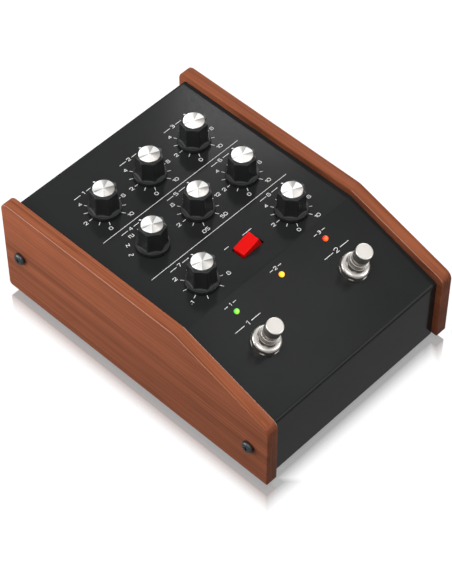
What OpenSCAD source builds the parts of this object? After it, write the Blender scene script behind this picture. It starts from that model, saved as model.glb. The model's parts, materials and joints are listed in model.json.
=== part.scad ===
// Analog delay pedal: a folded steel case between two wooden cheeks. Eight knobs and a rocker
// switch stand on its level panel, three lamps and two footswitches on its front slope.
// X runs to the right, Y to the rear and Z up. The origin is on the floor, under the middle.

/* [Cheeks] */
// Length of a wooden cheek, front to rear
cheek_l = 230; // [228:1:240]
// Thickness of a cheek board
cheek_t = 9; // [7:0.5:11]
// Height of a cheek's bottom edge above the floor
cheek_lift = 5.5; // [5:0.1:7]
// Height of a cheek's level top edge above the floor
cheek_h = 85.5; // [83:0.5:90]
// Height of a cheek's top edge at its front end
cheek_front_h = 60.5; // [58:0.5:64]

/* [Steel case] */
// Width of the case between the cheeks
case_w = 150; // [148:1:165]
// Thickness of the steel sheet
sheet_t = 1.5; // [1.2:0.1:2]
// Height of the level panel above the floor
panel_h = 80.5; // [78:0.5:84]
// Height of the slope's lower edge above the floor
front_h = 55.5; // [53:0.5:58]
// Distance of the bend from the middle, towards the front
bend_forward = 37; // [34:0.5:40]
// Height of the rubber feet
foot_h = 5; // [4:0.5:6]
// Radius of a rubber foot
foot_r = 9; // [7:0.5:10]

/* [Controls] */
// Distance between the columns of knobs
column_pitch = 40; // [38:0.5:44]
// Distance between the rows of knobs
row_pitch = 42.5; // [40:0.5:43]
// Distance of the rear row of knobs behind the middle
rear_row_y = 66.5; // [64:0.5:68]
// Height of a knob's top above the panel
knob_h = 20; // [18:0.5:22]
// Radius of a knob's skirt
skirt_r = 11.3; // [10.6:0.1:12]
// Number of flutes round a knob
flutes = 7; // [6:1:8]
// Angle that the rocker leans to each side of level
rocker_lean = 13.6; // [10:0.2:14]
// Angle of the wave selector's pointer at rest, to the left of straight on
selector_turn = 15; // [0:15:15]

/* [Front slope] */
// Distance of the lamps below the bend, along the slope
lamp_drop = 11; // [9:0.5:13]
// Distance of the footswitches below the bend, along the slope
footswitch_drop = 36.5; // [34:0.5:40]
// Height of a footswitch button's top above the slope
button_h = 23.5; // [22:0.5:26]
// Travel of a footswitch button
button_travel = 2.5; // [1.5:0.5:2.5]

/* [Hidden] */
$fn = 64;
gap = 0.2;
run_fit = 0.05;
half_l = cheek_l / 2;
front_y = -half_l + 4.5;
rear_y = half_l - 5;
bend_y = -bend_forward;
slope_a = atan((panel_h - front_h) / (bend_y - front_y));
base_top = foot_h + sheet_t;
inner_w = case_w - 2 * gap;
flange_d = 12;
// The rear wall is a plate of its own: the cover turns a lip down over it, and its tongue is welded there
lip_z = panel_h - 8;
plate_seam = 0.4;
tongue_w = 120;
columns = [-column_pitch, 0, column_pitch];
rows = [rear_row_y, rear_row_y - row_pitch, rear_row_y - 2 * row_pitch];
// Each control's name, its column and its row
CONTROLS = [
    ["drive", 0, 0], ["level", 1, 0], ["mix", 2, 0],
    ["wave", 0, 1], ["rate", 1, 1], ["amount", 2, 1],
    ["time", 0, 2], ["feedback", 2, 2]
];
SELECTOR = "wave";
arc_steps = 8;

// Potentiometers and their shafts, measured from the panel's top face
shaft_r = 3;
shaft_top = 15;
bushing_r = 3.5;
bushing_top = 5;
can_depth = 9;
selector_depth = 12;
rotor_r = 5.6;
rotor_z = [-6.8, -4.2];
chamber_r = 6.3;
chamber_z = [-7.4, -3.6];

// Knobs
knob_gap = 0.6;
knob_rim = knob_h - 0.4;
knob_r = 9.45;
skirt_top = 3.6;
shoulder_top = 4.4;
flute_cut_r = 9;
flute_floor_r = 8.1;
knob_recess_r = 7;
knob_recess_top = 6.5;
cap_r = 7;
cap_t = 1;

// Rocker switch, measured from its pivot
rocker_y = -19;
rocker_top = 7.65;
rocker_half = 7;
rocker_base = 8.4;
rocker_bottom = -2.5;
rocker_w_top = 9;
rocker_w_base = 9;
pivot_z = -2.8;
pivot_r = 1;
rocker_hole = [18.8, 9.7];
housing_size = [24, 15, 13];
housing_cavity = [20.6, 10.8, 10];

// Circuit boards
board_t = 1.6;
control_board_z = panel_h - sheet_t - housing_size.z;
control_board_x = 65;
control_board_y = [-36, 92];
main_board_z = base_top + 11.5;
main_board_x = 62;
main_board_y = [-95, 78];
control_posts = [for (x = [-58, 58], y = [-31, 87]) [x, y]];
main_posts = [for (x = [-56, 56], y = [-88, -9, 70]) [x, y]];
post_af = 5.5;
post_screw_r = 1.5;
post_screw_l = 8;
pin_r = 0.5;
pin_hole_r = 0.7;
pin_tip = control_board_z - board_t - 1;

// Footswitches, measured from the slope's face
switch_x = column_pitch;
switch_size = [17, 17, 22];
switch_bushing_r = 6;
switch_bushing_top = 13;
switch_washer_r = 9.8;
switch_washer_t = 0.8;
plunger_r = 4;
plunger_foot = -9;
plunger_foot_r = 5.4;
button_r = 5.7;
button_base = switch_bushing_top + button_travel + 0.3;
switch_cavity_r = 6.6;
switch_cavity = [-sheet_t - 20, -sheet_t - 3];
spring_r = 4.5;
spring_wire_r = 0.45;
spring_turns = 6;
ring_sides = 6;
rings_per_turn = 12;

// Lamps
lamp_r = 1.8;
lamp_rim_r = 2.25;
lamp_dome_z = 0.2;

// Rear sockets
jack_x = [-36, -9, 18, 45];
jack_z = 34;
jack_r = 3.25;
jack_bushing_r = 4.5;
jack_tip = rear_y + 4.3;
jack_depth = 26;
jack_body = [17, 24, 17];
inlet_x = -60;

// Cheek screws: distance to the rear, and height
cheek_screw_at = [[100.2, 42.9], [-99.7, 32.5]];
screw_r = 2;
cheek_nut_af = 7;
cheek_nut_t = 3.2;

// Base screws and feet
base_screw_at = [for (x = [-40, 0, 40], y = [front_y + 7, rear_y - 7]) [x, y]];
base_screw_r = 1.5;
foot_at = [for (x = [-1, 1], y = [-1, 1]) [x * (case_w / 2 - 11), y * (half_l - 15)]];

FIXED_NODES = [
    "top_cover", "base_tray", "left_cheek", "right_cheek", "cheek_screws", "cheek_nuts", "base_screws",
    "rubber_feet", "control_board", "main_board", "board_spacers", "board_screws", "ribbon_cable",
    "delay_chips", "capacitors", "pot_bodies", "selector_body", "pot_washers", "pot_nuts",
    "rocker_housing", "rocker_pin", "led_green", "led_amber", "led_red", "led_holders",
    "footswitch_bodies", "footswitch_washers", "footswitch_nuts", "jack_bodies", "jack_nuts", "power_inlet"
];
MOVING_NODES = ["rocker", "left_button", "right_button", "left_spring", "right_spring"];

// Outlines with rounded corners
function unit(v) = v / norm(v);
function half_turn(a) = a > 180 ? a - 360 : a <= -180 ? a + 360 : a;
function heading(v) = atan2(v.y, v.x);
function corner(a, b, c, r) =
    r == 0 ? [b] :
    let (
        u = unit(a - b),
        w = unit(c - b),
        half = acos(u * w) / 2,
        centre = b + unit(u + w) * r / sin(half),
        from = heading(b + u * r / tan(half) - centre),
        to = heading(b + w * r / tan(half) - centre),
        step = half_turn(to - from) / arc_steps
    )
    [for (i = [0:arc_steps]) centre + r * [cos(from + step * i), sin(from + step * i)]];
function rounded(points, radii) =
    let (n = len(points))
    [for (i = [0:n - 1]) each corner(points[(i + n - 1) % n], points[i], points[(i + 1) % n], radii[i])];

// Half the section of a turned disc whose upper edge is rounded
function turned_disc(r, z, edge_r) = rounded([[0, z[0]], [r, z[0]], [r, z[1]], [0, z[1]]], [0, 0, edge_r, 0]);

// A counter-clockwise outline moved inwards by d on every side
function edge_normal(a, b) = let (u = unit(b - a)) [u.y, -u.x];
function inset_corner(a, b, c, d) =
    let (m = edge_normal(a, b), n = edge_normal(b, c))
    b - d * (m + n) / (1 + m * n);
function inset(points, d) =
    let (n = len(points))
    [for (i = [0:n - 1]) inset_corner(points[(i + n - 1) % n], points[i], points[(i + 1) % n], d)];

// The case seen from its side: front bottom, rear bottom, rear top, bend, front top.
// The radii of a cheek's corners and of the sheet's folds, outside and inside, are in the same order.
case_outline = [
    [front_y, base_top], [rear_y, base_top], [rear_y, panel_h], [bend_y, panel_h], [front_y, front_h]
];
cheek_radii = [0.8, 3, 6, 14, 4];
fold_radii = [0, 0, 2.4, 4, 2.8];
inner_radii = [0, 0, 0.9, 2.5, 1.3];

// Places
module along_x(w) { rotate([90, 0, 90]) linear_extrude(w, center = true) children(); }
module along_y() { rotate([-90, 0, 0]) children(); }
module on_slope(x, drop) {
    translate([0, bend_y, panel_h]) rotate([slope_a, 0, 0]) translate([x, -drop, 0]) children();
}
module at_switches() { for (x = [-switch_x, switch_x]) on_slope(x, footswitch_drop) children(); }
module at_control(c) { translate([columns[c[1]], rows[c[2]], panel_h]) children(); }
module at_pivot() { translate([0, rocker_y, panel_h + pivot_z]) children(); }
module at_jacks() { for (x = jack_x) translate([x, rear_y, jack_z]) along_y() children(); }
module at_inlet() { translate([inlet_x, rear_y, jack_z]) along_y() children(); }
module at_points(points, z) { for (q = points) translate([q.x, q.y, z]) children(); }
module at_cheek_screws() {
    for (side = [-1, 1], s = cheek_screw_at) translate([0, s[0], s[1]]) rotate([0, side * 90, 0]) children();
}

// Shapes that repeat
module rod(r, z) { translate([0, 0, z[0]]) cylinder(r = r, h = z[1] - z[0]); }
module hex(af, z) { translate([0, 0, z[0]]) cylinder(r = af / sqrt(3), h = z[1] - z[0], $fn = 6); }
module slab(x, y, z) { translate([x[0], y[0], z[0]]) cube([x[1] - x[0], y[1] - y[0], z[1] - z[0]]); }
module ring(outer, inner, z) {
    difference() {
        rod(outer, z);
        rod(inner, [z[0] - 1, z[1] + 1]);
    }
}
// A hexagon whose six top corners are turned off
module chamfered_hex(af, z) {
    corner_r = af / sqrt(3);
    intersection() {
        hex(af, z);
        rotate_extrude()
            polygon([[0, z[0]], [corner_r, z[0]], [corner_r, z[1] - 0.6], [af / 2 - 0.1, z[1]], [0, z[1]]]);
    }
}
module hex_nut(af, bore, z) {
    difference() {
        chamfered_hex(af, z);
        rod(bore, [z[0] - 1, z[1] + 1]);
    }
}
module cross_recess(depth) {
    for (a = [0, 90]) rotate(a) translate([0, 0, -depth / 2]) cube([3.4, 0.9, depth + 0.01], center = true);
}
// A screw with its head's underside at z = 0, its tip below and its head above
module pan_screw(head_r, head_h, shank_r, length, edge_r = 0.7) {
    difference() {
        union() {
            rotate_extrude() polygon(turned_disc(head_r, [0, head_h], edge_r));
            rod(shank_r, [-length, 0]);
        }
        translate([0, 0, head_h]) cross_recess(head_h * 0.6);
    }
}

// Steel case
module folded_sheet() {
    inside = rear_y - sheet_t;
    difference() {
        along_x(inner_w) polygon(rounded(case_outline, fold_radii));
        along_x(case_w) polygon(rounded(inset(case_outline, sheet_t), inner_radii));
        slab([-case_w, case_w], [front_y + flange_d, rear_y - flange_d], [foot_h, base_top + 2 * sheet_t]);
        slab([-case_w, case_w], [inside - 1, rear_y + 1], [lip_z - plate_seam, lip_z]);
        slab([-case_w, case_w], [inside - 1, inside + 0.3], [lip_z - plate_seam, lip_z + 5]);
    }
    slab([-tongue_w / 2, tongue_w / 2], [inside - sheet_t, inside + 0.1], [lip_z - 6, lip_z + 4.5]);
}
module top_cover() {
    color("#333434") difference() {
        folded_sheet();
        // The flanges stop short of the tray's upturned sides
        for (side = [-1, 1])
            translate([side * (case_w / 2 - 1), 0, base_top])
                cube([6, 2 * (half_l - 8), 2 * (sheet_t + gap)], center = true);
        for (c = CONTROLS) at_control(c) rod(bushing_r + 0.1, [-sheet_t - 1, 1]);
        translate([0, rocker_y, panel_h]) cube([rocker_hole.x, rocker_hole.y, 4 * sheet_t], center = true);
        for (x = columns) on_slope(x, lamp_drop) rod(lamp_r + 0.1, [-sheet_t - 1, 1]);
        at_switches() rod(switch_bushing_r + 0.1, [-sheet_t - 1, 1]);
        at_jacks() rod(jack_bushing_r + 0.1, [-sheet_t - 1, 1]);
        at_inlet() rod(5.1, [-sheet_t - 1, 1]);
        at_points(base_screw_at, base_top) rod(base_screw_r + 0.05, [-1, sheet_t + 1]);
    }
}
// An upturned side of the tray, notched at its lower corners to clear the cover's flanges
module tray_side() {
    inner = inset(case_outline, sheet_t + 2 * gap);
    floor_line = [[inner[0].x, base_top], [inner[1].x, base_top]];
    difference() {
        along_x(sheet_t) polygon(concat(floor_line, [inner[2], inner[3], inner[4]]));
        for (y = [front_y, rear_y])
            translate([0, y, base_top])
                cube([case_w, 2 * (flange_d + gap), 2 * (sheet_t + gap)], center = true);
    }
}
module base_tray() {
    side_x = inner_w / 2 - sheet_t / 2;
    color("#3a3b3b") difference() {
        union() {
            slab([-inner_w / 2, inner_w / 2], [front_y, rear_y], [foot_h, base_top]);
            for (side = [-1, 1]) translate([side * side_x, 0, 0]) tray_side();
        }
        at_points(base_screw_at, foot_h) rod(base_screw_r + 0.2, [-1, sheet_t + 1]);
        at_cheek_screws() rod(screw_r + 0.2, [0, case_w]);
    }
}
module base_screws() {
    color("#2a2a2a") at_points(base_screw_at, foot_h) rotate([180, 0, 0])
        pan_screw(2.8, 1.8, base_screw_r, 2 * sheet_t + 3);
}
module rubber_feet() {
    color("#1c1c1c") at_points(foot_at, 0) rotate_extrude()
        polygon(rounded([[0, 0], [foot_r - 0.8, 0], [foot_r, foot_h], [0, foot_h]], [0, 1, 0.4, 0]));
}

// Wooden cheeks
module cheek(side) {
    outline = [
        [-half_l, cheek_lift], [half_l, cheek_lift], [half_l, cheek_h],
        [bend_y, cheek_h], [-half_l, cheek_front_h]
    ];
    difference() {
        translate([side * (case_w + cheek_t) / 2, 0, 0])
            along_x(cheek_t) polygon(rounded(outline, cheek_radii));
        at_cheek_screws() rod(screw_r + 0.2, [0, case_w]);
    }
}
module left_cheek() { color("#9c5a3f") cheek(-1); }
module right_cheek() { color("#9c5a3f") cheek(1); }
module cheek_screws() {
    head_x = case_w / 2 + cheek_t;
    shank_l = cheek_t + gap + sheet_t + cheek_nut_t + 1;
    color("#232323") at_cheek_screws() translate([0, 0, head_x]) pan_screw(4.3, 3, screw_r, shank_l, 1.6);
}
module cheek_nuts() {
    inside = inner_w / 2 - sheet_t;
    color("#b9b9b6") at_cheek_screws() translate([0, 0, inside]) mirror([0, 0, 1])
        hex_nut(cheek_nut_af, screw_r + run_fit, [0, cheek_nut_t]);
}

// Circuit boards and what joins them
module drilled_board(half_x, y, bottom, posts) {
    difference() {
        slab([-half_x, half_x], y, [bottom, bottom + board_t]);
        at_points(posts, bottom) rod(post_screw_r + 0.2, [-1, board_t + 1]);
    }
}
module control_board() {
    color("#2f6b45") difference() {
        drilled_board(control_board_x, control_board_y, control_board_z - board_t, control_posts);
        for (c = CONTROLS) at_control(c) pot_pins(pin_hole_r);
        at_pivot() rocker_pins(pin_hole_r);
    }
}
module main_board() {
    color("#2f6b45") drilled_board(main_board_x, main_board_y, main_board_z, main_posts);
}
// A spacer standing below z = 0, with a blind hole for a screw from above
module spacer(length) {
    difference() {
        hex(post_af, [-length, 0]);
        rod(post_screw_r + run_fit, [-post_screw_l, 1]);
    }
}
module board_spacers() {
    color("#c8b46a") {
        at_points(control_posts, control_board_z) rotate([180, 0, 0]) spacer(housing_size.z);
        at_points(main_posts, main_board_z) spacer(main_board_z - base_top);
    }
}
module board_screw() { pan_screw(2.75, 2, post_screw_r, post_screw_l); }
module board_screws() {
    color("#b9b9b6") {
        at_points(control_posts, control_board_z - board_t) rotate([180, 0, 0]) board_screw();
        at_points(main_posts, main_board_z + board_t) board_screw();
    }
}
module ribbon_cable() {
    width = 26;
    thick = 1;
    plug = [30, 6, 8];
    top_z = control_board_z - board_t;
    low_z = main_board_z + board_t;
    mid_z = (top_z + low_z) / 2;
    swing_r = (top_z - low_z) / 4 - plug.z / 2;
    plug_y = 44;
    // The band drops from the upper plug, swings out and back, and ends in the lower plug
    folds = [
        [plug_y, top_z - plug.z + 1], [plug_y, mid_z + swing_r], [plug_y - 3 * swing_r, mid_z],
        [plug_y, mid_z - swing_r], [plug_y, low_z + plug.z - 1]
    ];
    color("#8f9296") {
        translate([0, plug_y, top_z - plug.z / 2]) cube(plug, center = true);
        translate([0, plug_y, low_z + plug.z / 2]) cube(plug, center = true);
        along_x(width) for (i = [0:len(folds) - 2]) band_piece(folds[i], folds[i + 1], thick);
    }
}
// One straight stretch of the band, with a round end at each fold
module band_piece(a, b, thick) {
    translate(a) rotate(heading(b - a)) translate([0, -thick / 2]) square([norm(b - a), thick]);
    translate(a) circle(d = thick);
    translate(b) circle(d = thick);
}
module delay_chips() {
    body = [6.5, 20, 3.4];
    lift = 1;
    pitch = 2.54;
    color("#202224") for (x = [-42, -24], y = [-70, -40, -10]) translate([x, y, main_board_z + board_t]) {
        translate([0, 0, lift + body.z / 2]) cube(body, center = true);
        for (side = [-1, 1], i = [-3.5:3.5])
            translate([side * (body.x / 2 + 0.2), i * pitch, (lift + body.z / 2) / 2])
                cube([0.6, 1, lift + body.z / 2], center = true);
    }
}
module capacitors() {
    can_r = 4;
    can_h = 12;
    color("#26364f") for (x = [8, 26, 44], y = [-72, -46, -20]) translate([x, y, main_board_z + board_t])
        rotate_extrude() polygon(turned_disc(can_r, [0, can_h], 0.8));
}

// Potentiometers and the selector
module pot_pins(r) {
    for (x = [-5, 0, 5]) translate([x, -6, 0]) rod(r, [pin_tip - panel_h, -sheet_t - 6]);
}
module pot(can_r, depth) {
    difference() {
        union() {
            rod(can_r, [-sheet_t - depth, -sheet_t]);
            rod(bushing_r, [-sheet_t - 1, bushing_top]);
            pot_pins(pin_r);
        }
        rod(shaft_r + run_fit, [chamber_z[0], bushing_top + 1]);
        rod(chamber_r, chamber_z);
    }
}
module pot_bodies() {
    color("#a9aaa6") for (c = CONTROLS) if (c[0] != SELECTOR) at_control(c) pot(8.25, can_depth);
}
module selector_body() {
    color("#4a5560") for (c = CONTROLS) if (c[0] == SELECTOR) at_control(c) pot(11, selector_depth);
}
module pot_washers() {
    color("#b9b9b6") for (c = CONTROLS) at_control(c) ring(6.4, bushing_r + 0.1, [0, 0.5]);
}
module pot_nuts() {
    color("#b9b9b6") for (c = CONTROLS) at_control(c) hex_nut(10, bushing_r + run_fit, [0.5, 2.5]);
}
module shaft(c) {
    color("#a9aaa6") at_control(c) {
        rod(shaft_r, [rotor_z[0], shaft_top]);
        rod(rotor_r, rotor_z);
    }
}

// Knobs
module knob_turned() {
    bevel = 0.7;
    rotate(90) rotate_extrude() polygon([
        [0, knob_gap], [skirt_r - 0.4, knob_gap], [skirt_r, knob_gap + 0.4], [skirt_r, skirt_top - bevel],
        [skirt_r - bevel, skirt_top], [knob_r, shoulder_top],
        [knob_r, knob_rim - bevel], [knob_r - bevel, knob_rim], [0, knob_rim]
    ]);
}
module knob(c) {
    rest_turn = c[0] == SELECTOR ? selector_turn : 0;
    color("#1e1f1f") at_control(c) rotate(rest_turn) difference() {
        knob_turned();
        for (i = [0:flutes - 1])
            rotate((i + 0.5) * 360 / flutes + 90)
                translate([flute_floor_r + flute_cut_r, 0, 0])
                    rod(flute_cut_r, [(skirt_top + shoulder_top) / 2, knob_h + 1]);
        rod(knob_recess_r, [0, knob_recess_top]);
        rod(shaft_r + 0.02, [knob_recess_top - 1, shaft_top + 0.3]);
        rod(cap_r + run_fit, [knob_h - cap_t, knob_h + 1]);
    }
}
module knob_cap(c) {
    color("#d8d8d6") at_control(c) translate([0, 0, knob_h - cap_t])
        rotate_extrude() polygon(turned_disc(cap_r, [0, cap_t], 0.3));
}

// Rocker switch
module rocker_side(half_top, half_base, upper, lower) {
    polygon([
        [-half_base, lower], [half_base, lower], [half_base, 0.4],
        [half_top, upper], [-half_top, upper], [-half_base, 0.4]
    ]);
}
module rocker_block() {
    intersection() {
        rotate([90, 0, 0]) linear_extrude(2 * rocker_w_base, center = true)
            rocker_side(rocker_half, rocker_base, rocker_top, rocker_bottom);
        along_x(4 * rocker_base) rocker_side(rocker_w_top / 2, rocker_w_base / 2, rocker_top, rocker_bottom);
    }
}
module rocker() {
    color("#e01a18") at_pivot() rotate([0, -rocker_lean, 0]) difference() {
        rocker_block();
        along_y() rod(pivot_r + run_fit, [-rocker_w_base, rocker_w_base]);
    }
}
module rocker_pins(r) {
    base = -sheet_t - pivot_z - housing_size.z;
    for (x = [-7, 0, 7]) translate([x, 0, 0]) rod(r, [pin_tip - panel_h - pivot_z, base + 1]);
}
module rocker_housing() {
    top = -sheet_t - pivot_z;
    color("#262626") at_pivot() {
        difference() {
            slab(
                [-housing_size.x / 2, housing_size.x / 2], [-housing_size.y / 2, housing_size.y / 2],
                [top - housing_size.z, top]
            );
            translate([0, 0, top])
                cube([housing_cavity.x, housing_cavity.y, 2 * housing_cavity.z], center = true);
            along_y() rod(pivot_r + 0.02, [-housing_size.y, housing_size.y]);
        }
        rocker_pins(pin_r);
    }
}
module rocker_pin() {
    color("#b9b9b6") at_pivot() along_y() rod(pivot_r, [-housing_size.y / 2, housing_size.y / 2]);
}

// Lamps
module lamp(x) {
    on_slope(x, lamp_drop) {
        rod(lamp_r, [-sheet_t - 5, lamp_dome_z]);
        rod(lamp_rim_r, [-sheet_t - 1, -sheet_t]);
        intersection() {
            translate([0, 0, lamp_dome_z]) sphere(lamp_r);
            rod(lamp_r, [lamp_dome_z - 1, lamp_dome_z + lamp_r]);
        }
        for (side = [-1, 1]) translate([side * 1.27, 0, 0]) rod(0.3, [-sheet_t - 12, -sheet_t - 4]);
    }
}
module led_green() { color("#35d45a") lamp(columns[0]); }
module led_amber() { color("#ffb347") lamp(columns[1]); }
module led_red() { color("#ff3b21") lamp(columns[2]); }
module led_holders() {
    color("#1c1c1c") for (x = columns) on_slope(x, lamp_drop) difference() {
        rod(4.2, [-sheet_t - 4.5, -sheet_t]);
        rod(lamp_r + run_fit, [-sheet_t - 6, 0]);
        rod(lamp_rim_r + run_fit, [-sheet_t - 1.1, 0]);
    }
}

// Footswitches
module footswitch_bodies() {
    color("#8d8f90") at_switches() difference() {
        union() {
            translate([0, 0, -sheet_t - switch_size.z / 2]) cube(switch_size, center = true);
            rod(switch_bushing_r, [-sheet_t - 1, switch_bushing_top]);
            for (x = [-5, 0, 5], y = [-5, 0, 5])
                translate([x, y, -sheet_t - switch_size.z - 2]) cube([2, 0.8, 6], center = true);
        }
        rod(plunger_r + run_fit, [switch_cavity[0], switch_bushing_top + 1]);
        rod(switch_cavity_r, switch_cavity);
    }
}
module footswitch_washers() {
    color("#d2d0cd") at_switches() ring(switch_washer_r, switch_bushing_r + 0.1, [0, switch_washer_t]);
}
// A wide domed hexagon nut with a narrower hexagon on top
module footswitch_nuts() {
    wide_af = 18;
    dome_r = 2.2;
    dome_top = 5.6;
    nut_af = 13.8;
    nut_top = 9.6;
    color("#d2d0cd") at_switches() difference() {
        union() {
            intersection() {
                hex(wide_af, [switch_washer_t, dome_top]);
                rotate_extrude() polygon(turned_disc(switch_washer_r, [switch_washer_t, dome_top], dome_r));
            }
            chamfered_hex(nut_af, [switch_washer_t, nut_top]);
        }
        rod(switch_bushing_r + run_fit, [0, nut_top + 1]);
    }
}
module button(x) {
    color("#dedad6") on_slope(x, footswitch_drop) {
        rod(plunger_r, [plunger_foot, button_base + 1]);
        rod(plunger_foot_r, [plunger_foot, plunger_foot + 1.5]);
        rotate_extrude() polygon(rounded(
            [[0, button_base], [button_r, button_base], [button_r, button_h], [0, button_h]], [0, 0.3, 0.7, 0]
        ));
    }
}
module left_button() { button(-switch_x); }
module right_button() { button(switch_x); }
// A round wire swept along a helix, closed at both ends
function spring_ring(i, low, rise) =
    let (a = i * 360 / rings_per_turn, z = low + rise * i)
    [for (k = [0:ring_sides - 1])
        let (b = k * 360 / ring_sides, r = spring_r + spring_wire_r * cos(b))
        [r * cos(a), r * sin(a), z + spring_wire_r * sin(b)]];
module coil_spring() {
    steps = spring_turns * rings_per_turn;
    low = switch_cavity[0] + spring_wire_r + 0.3;
    high = plunger_foot - spring_wire_r - 0.3;
    points = [for (i = [0:steps]) each spring_ring(i, low, (high - low) / steps)];
    sides = [for (i = [0:steps - 1], k = [0:ring_sides - 1])
        let (a = i * ring_sides + k, b = i * ring_sides + (k + 1) % ring_sides)
        each [[a, b, b + ring_sides], [a, b + ring_sides, a + ring_sides]]];
    end = steps * ring_sides;
    low_cap = [for (k = [1:ring_sides - 2]) [0, k + 1, k]];
    high_cap = [for (k = [1:ring_sides - 2]) [end, end + k, end + k + 1]];
    polyhedron(points, concat(sides, low_cap, high_cap));
}
module left_spring() { color("#b9b9b6") on_slope(-switch_x, footswitch_drop) coil_spring(); }
module right_spring() { color("#b9b9b6") on_slope(switch_x, footswitch_drop) coil_spring(); }

// Rear sockets, drawn along the way a plug comes out
module jack_bodies() {
    body_z = [-sheet_t - jack_body.y, -sheet_t];
    color("#26282a") at_jacks() difference() {
        union() {
            slab([-jack_body.x / 2, jack_body.x / 2], [-jack_body.z / 2, jack_body.z / 2], body_z);
            rod(jack_bushing_r, [-sheet_t - 1, jack_tip - rear_y]);
        }
        rod(jack_r, [jack_tip - rear_y - jack_depth, jack_tip - rear_y + 1]);
    }
}
module jack_nuts() {
    color("#d2d0cd") at_jacks() hex_nut(12, jack_bushing_r + run_fit, [0, 2.6]);
}
module power_inlet() {
    color("#1c1c1c") at_inlet() {
        difference() {
            union() {
                slab([-4.75, 4.75], [-5.75, 5.75], [-sheet_t - 14, -sheet_t]);
                rod(5, [-sheet_t - 1, 1.5]);
            }
            rod(2.9, [-9, 3]);
        }
        rod(1, [-10, 0]);
    }
}

top_cover();
base_tray();
left_cheek();
right_cheek();
cheek_screws();
cheek_nuts();
base_screws();
rubber_feet();
control_board();
main_board();
board_spacers();
board_screws();
ribbon_cable();
delay_chips();
capacitors();
pot_bodies();
selector_body();
pot_washers();
pot_nuts();
rocker_housing();
rocker_pin();
rocker();
led_green();
led_amber();
led_red();
led_holders();
footswitch_bodies();
footswitch_washers();
footswitch_nuts();
left_button();
right_button();
left_spring();
right_spring();
jack_bodies();
jack_nuts();
power_inlet();
for (c = CONTROLS) {
    knob(c);
    knob_cap(c);
    shaft(c);
}
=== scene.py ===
"""Looks of an analog delay pedal: a folded steel case between two mahogany cheeks.

Eight fluted knobs and a rocker stand on the level panel, three lamps and two footswitches on the
front slope. Sizes are in millimetres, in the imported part's frame: X to the right, Y to the rear and
Z up from the floor. Meshes are written in metres, with every piece's object at the origin.
"""

import json
import logging
from collections.abc import Mapping, Sequence
from dataclasses import dataclass, replace
from enum import Enum

import bmesh
import bpy
import numpy as np
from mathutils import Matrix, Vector


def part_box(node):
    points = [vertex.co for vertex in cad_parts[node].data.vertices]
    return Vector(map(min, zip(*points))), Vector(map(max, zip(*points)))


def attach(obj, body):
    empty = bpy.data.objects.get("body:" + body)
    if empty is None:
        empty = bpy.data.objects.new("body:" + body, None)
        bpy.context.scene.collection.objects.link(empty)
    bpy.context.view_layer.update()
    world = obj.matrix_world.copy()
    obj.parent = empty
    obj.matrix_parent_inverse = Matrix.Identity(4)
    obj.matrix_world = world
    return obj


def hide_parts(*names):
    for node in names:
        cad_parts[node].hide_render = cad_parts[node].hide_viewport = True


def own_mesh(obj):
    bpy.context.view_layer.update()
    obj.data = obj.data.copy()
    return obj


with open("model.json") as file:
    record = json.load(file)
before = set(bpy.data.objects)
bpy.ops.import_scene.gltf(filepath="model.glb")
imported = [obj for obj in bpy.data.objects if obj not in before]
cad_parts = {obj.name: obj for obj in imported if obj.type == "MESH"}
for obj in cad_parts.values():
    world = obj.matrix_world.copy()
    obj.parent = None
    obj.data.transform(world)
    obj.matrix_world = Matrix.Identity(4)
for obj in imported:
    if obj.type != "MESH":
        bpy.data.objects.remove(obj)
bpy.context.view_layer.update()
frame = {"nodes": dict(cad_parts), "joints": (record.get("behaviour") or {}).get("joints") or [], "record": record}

LOG = logging.getLogger("pedal")
MM = 0.001
WELD_DISTANCE = 0.0001 * MM
WHITE = "#FFFFFF"
# The radius of a corner that looks sharp
SHARP_R = 0.02
# The steps in a small rounded edge
EDGE_STEPS = 5
# The steps up a dome, across a pointer line, and round a nut, a lamp, a spring's turn and its wire
DOME_STEPS = 13
POINTER_STEPS = 6
NUT_COLUMNS = 192
LAMP_COLUMNS = 48
TURN_STEPS = 24
WIRE_COLUMNS = 10
# The least divisor of a mitre, which keeps the point of a sharp corner short
MITRE_LIMIT = 0.4
# A noise's mean, and the span in which most of its values lie
NOISE_MEAN = 0.5
NOISE_SPAN = (0.3, 0.7)

Array = np.ndarray
Pair = tuple[float, float]
Triple = tuple[float, float, float]
Tree = bpy.types.NodeTree
Node = bpy.types.Node
Socket = bpy.types.NodeSocket


def linear(colour: str) -> tuple[float, float, float, float]:
    """Turns an sRGB hex colour into linear light.

    A value v up to 0.04045 becomes v / 12.92, and a larger one ((v + 0.055) / 1.055)^2.4.

    Args:
        colour: a hex value such as "#9C5A3F".

    Returns:
        Red, green, blue and an alpha of 1, in linear light.
    """
    srgb = np.array([int(colour[i:i + 2], 16) for i in (1, 3, 5)]) / 255
    light = np.where(srgb <= 0.04045, srgb / 12.92, ((srgb + 0.055) / 1.055) ** 2.4)
    return (*light.tolist(), 1.0)


def per_metre(size: float) -> float:
    """The texture scale, in cycles per metre, of a pattern whose features are size millimetres wide."""
    return 1 / (size * MM)


def span_inputs(span: Pair) -> dict[str, float]:
    """The inputs that turn a span of values into shares from 0 to 1."""
    return {"From Min": span[0], "From Max": span[1]}


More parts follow.
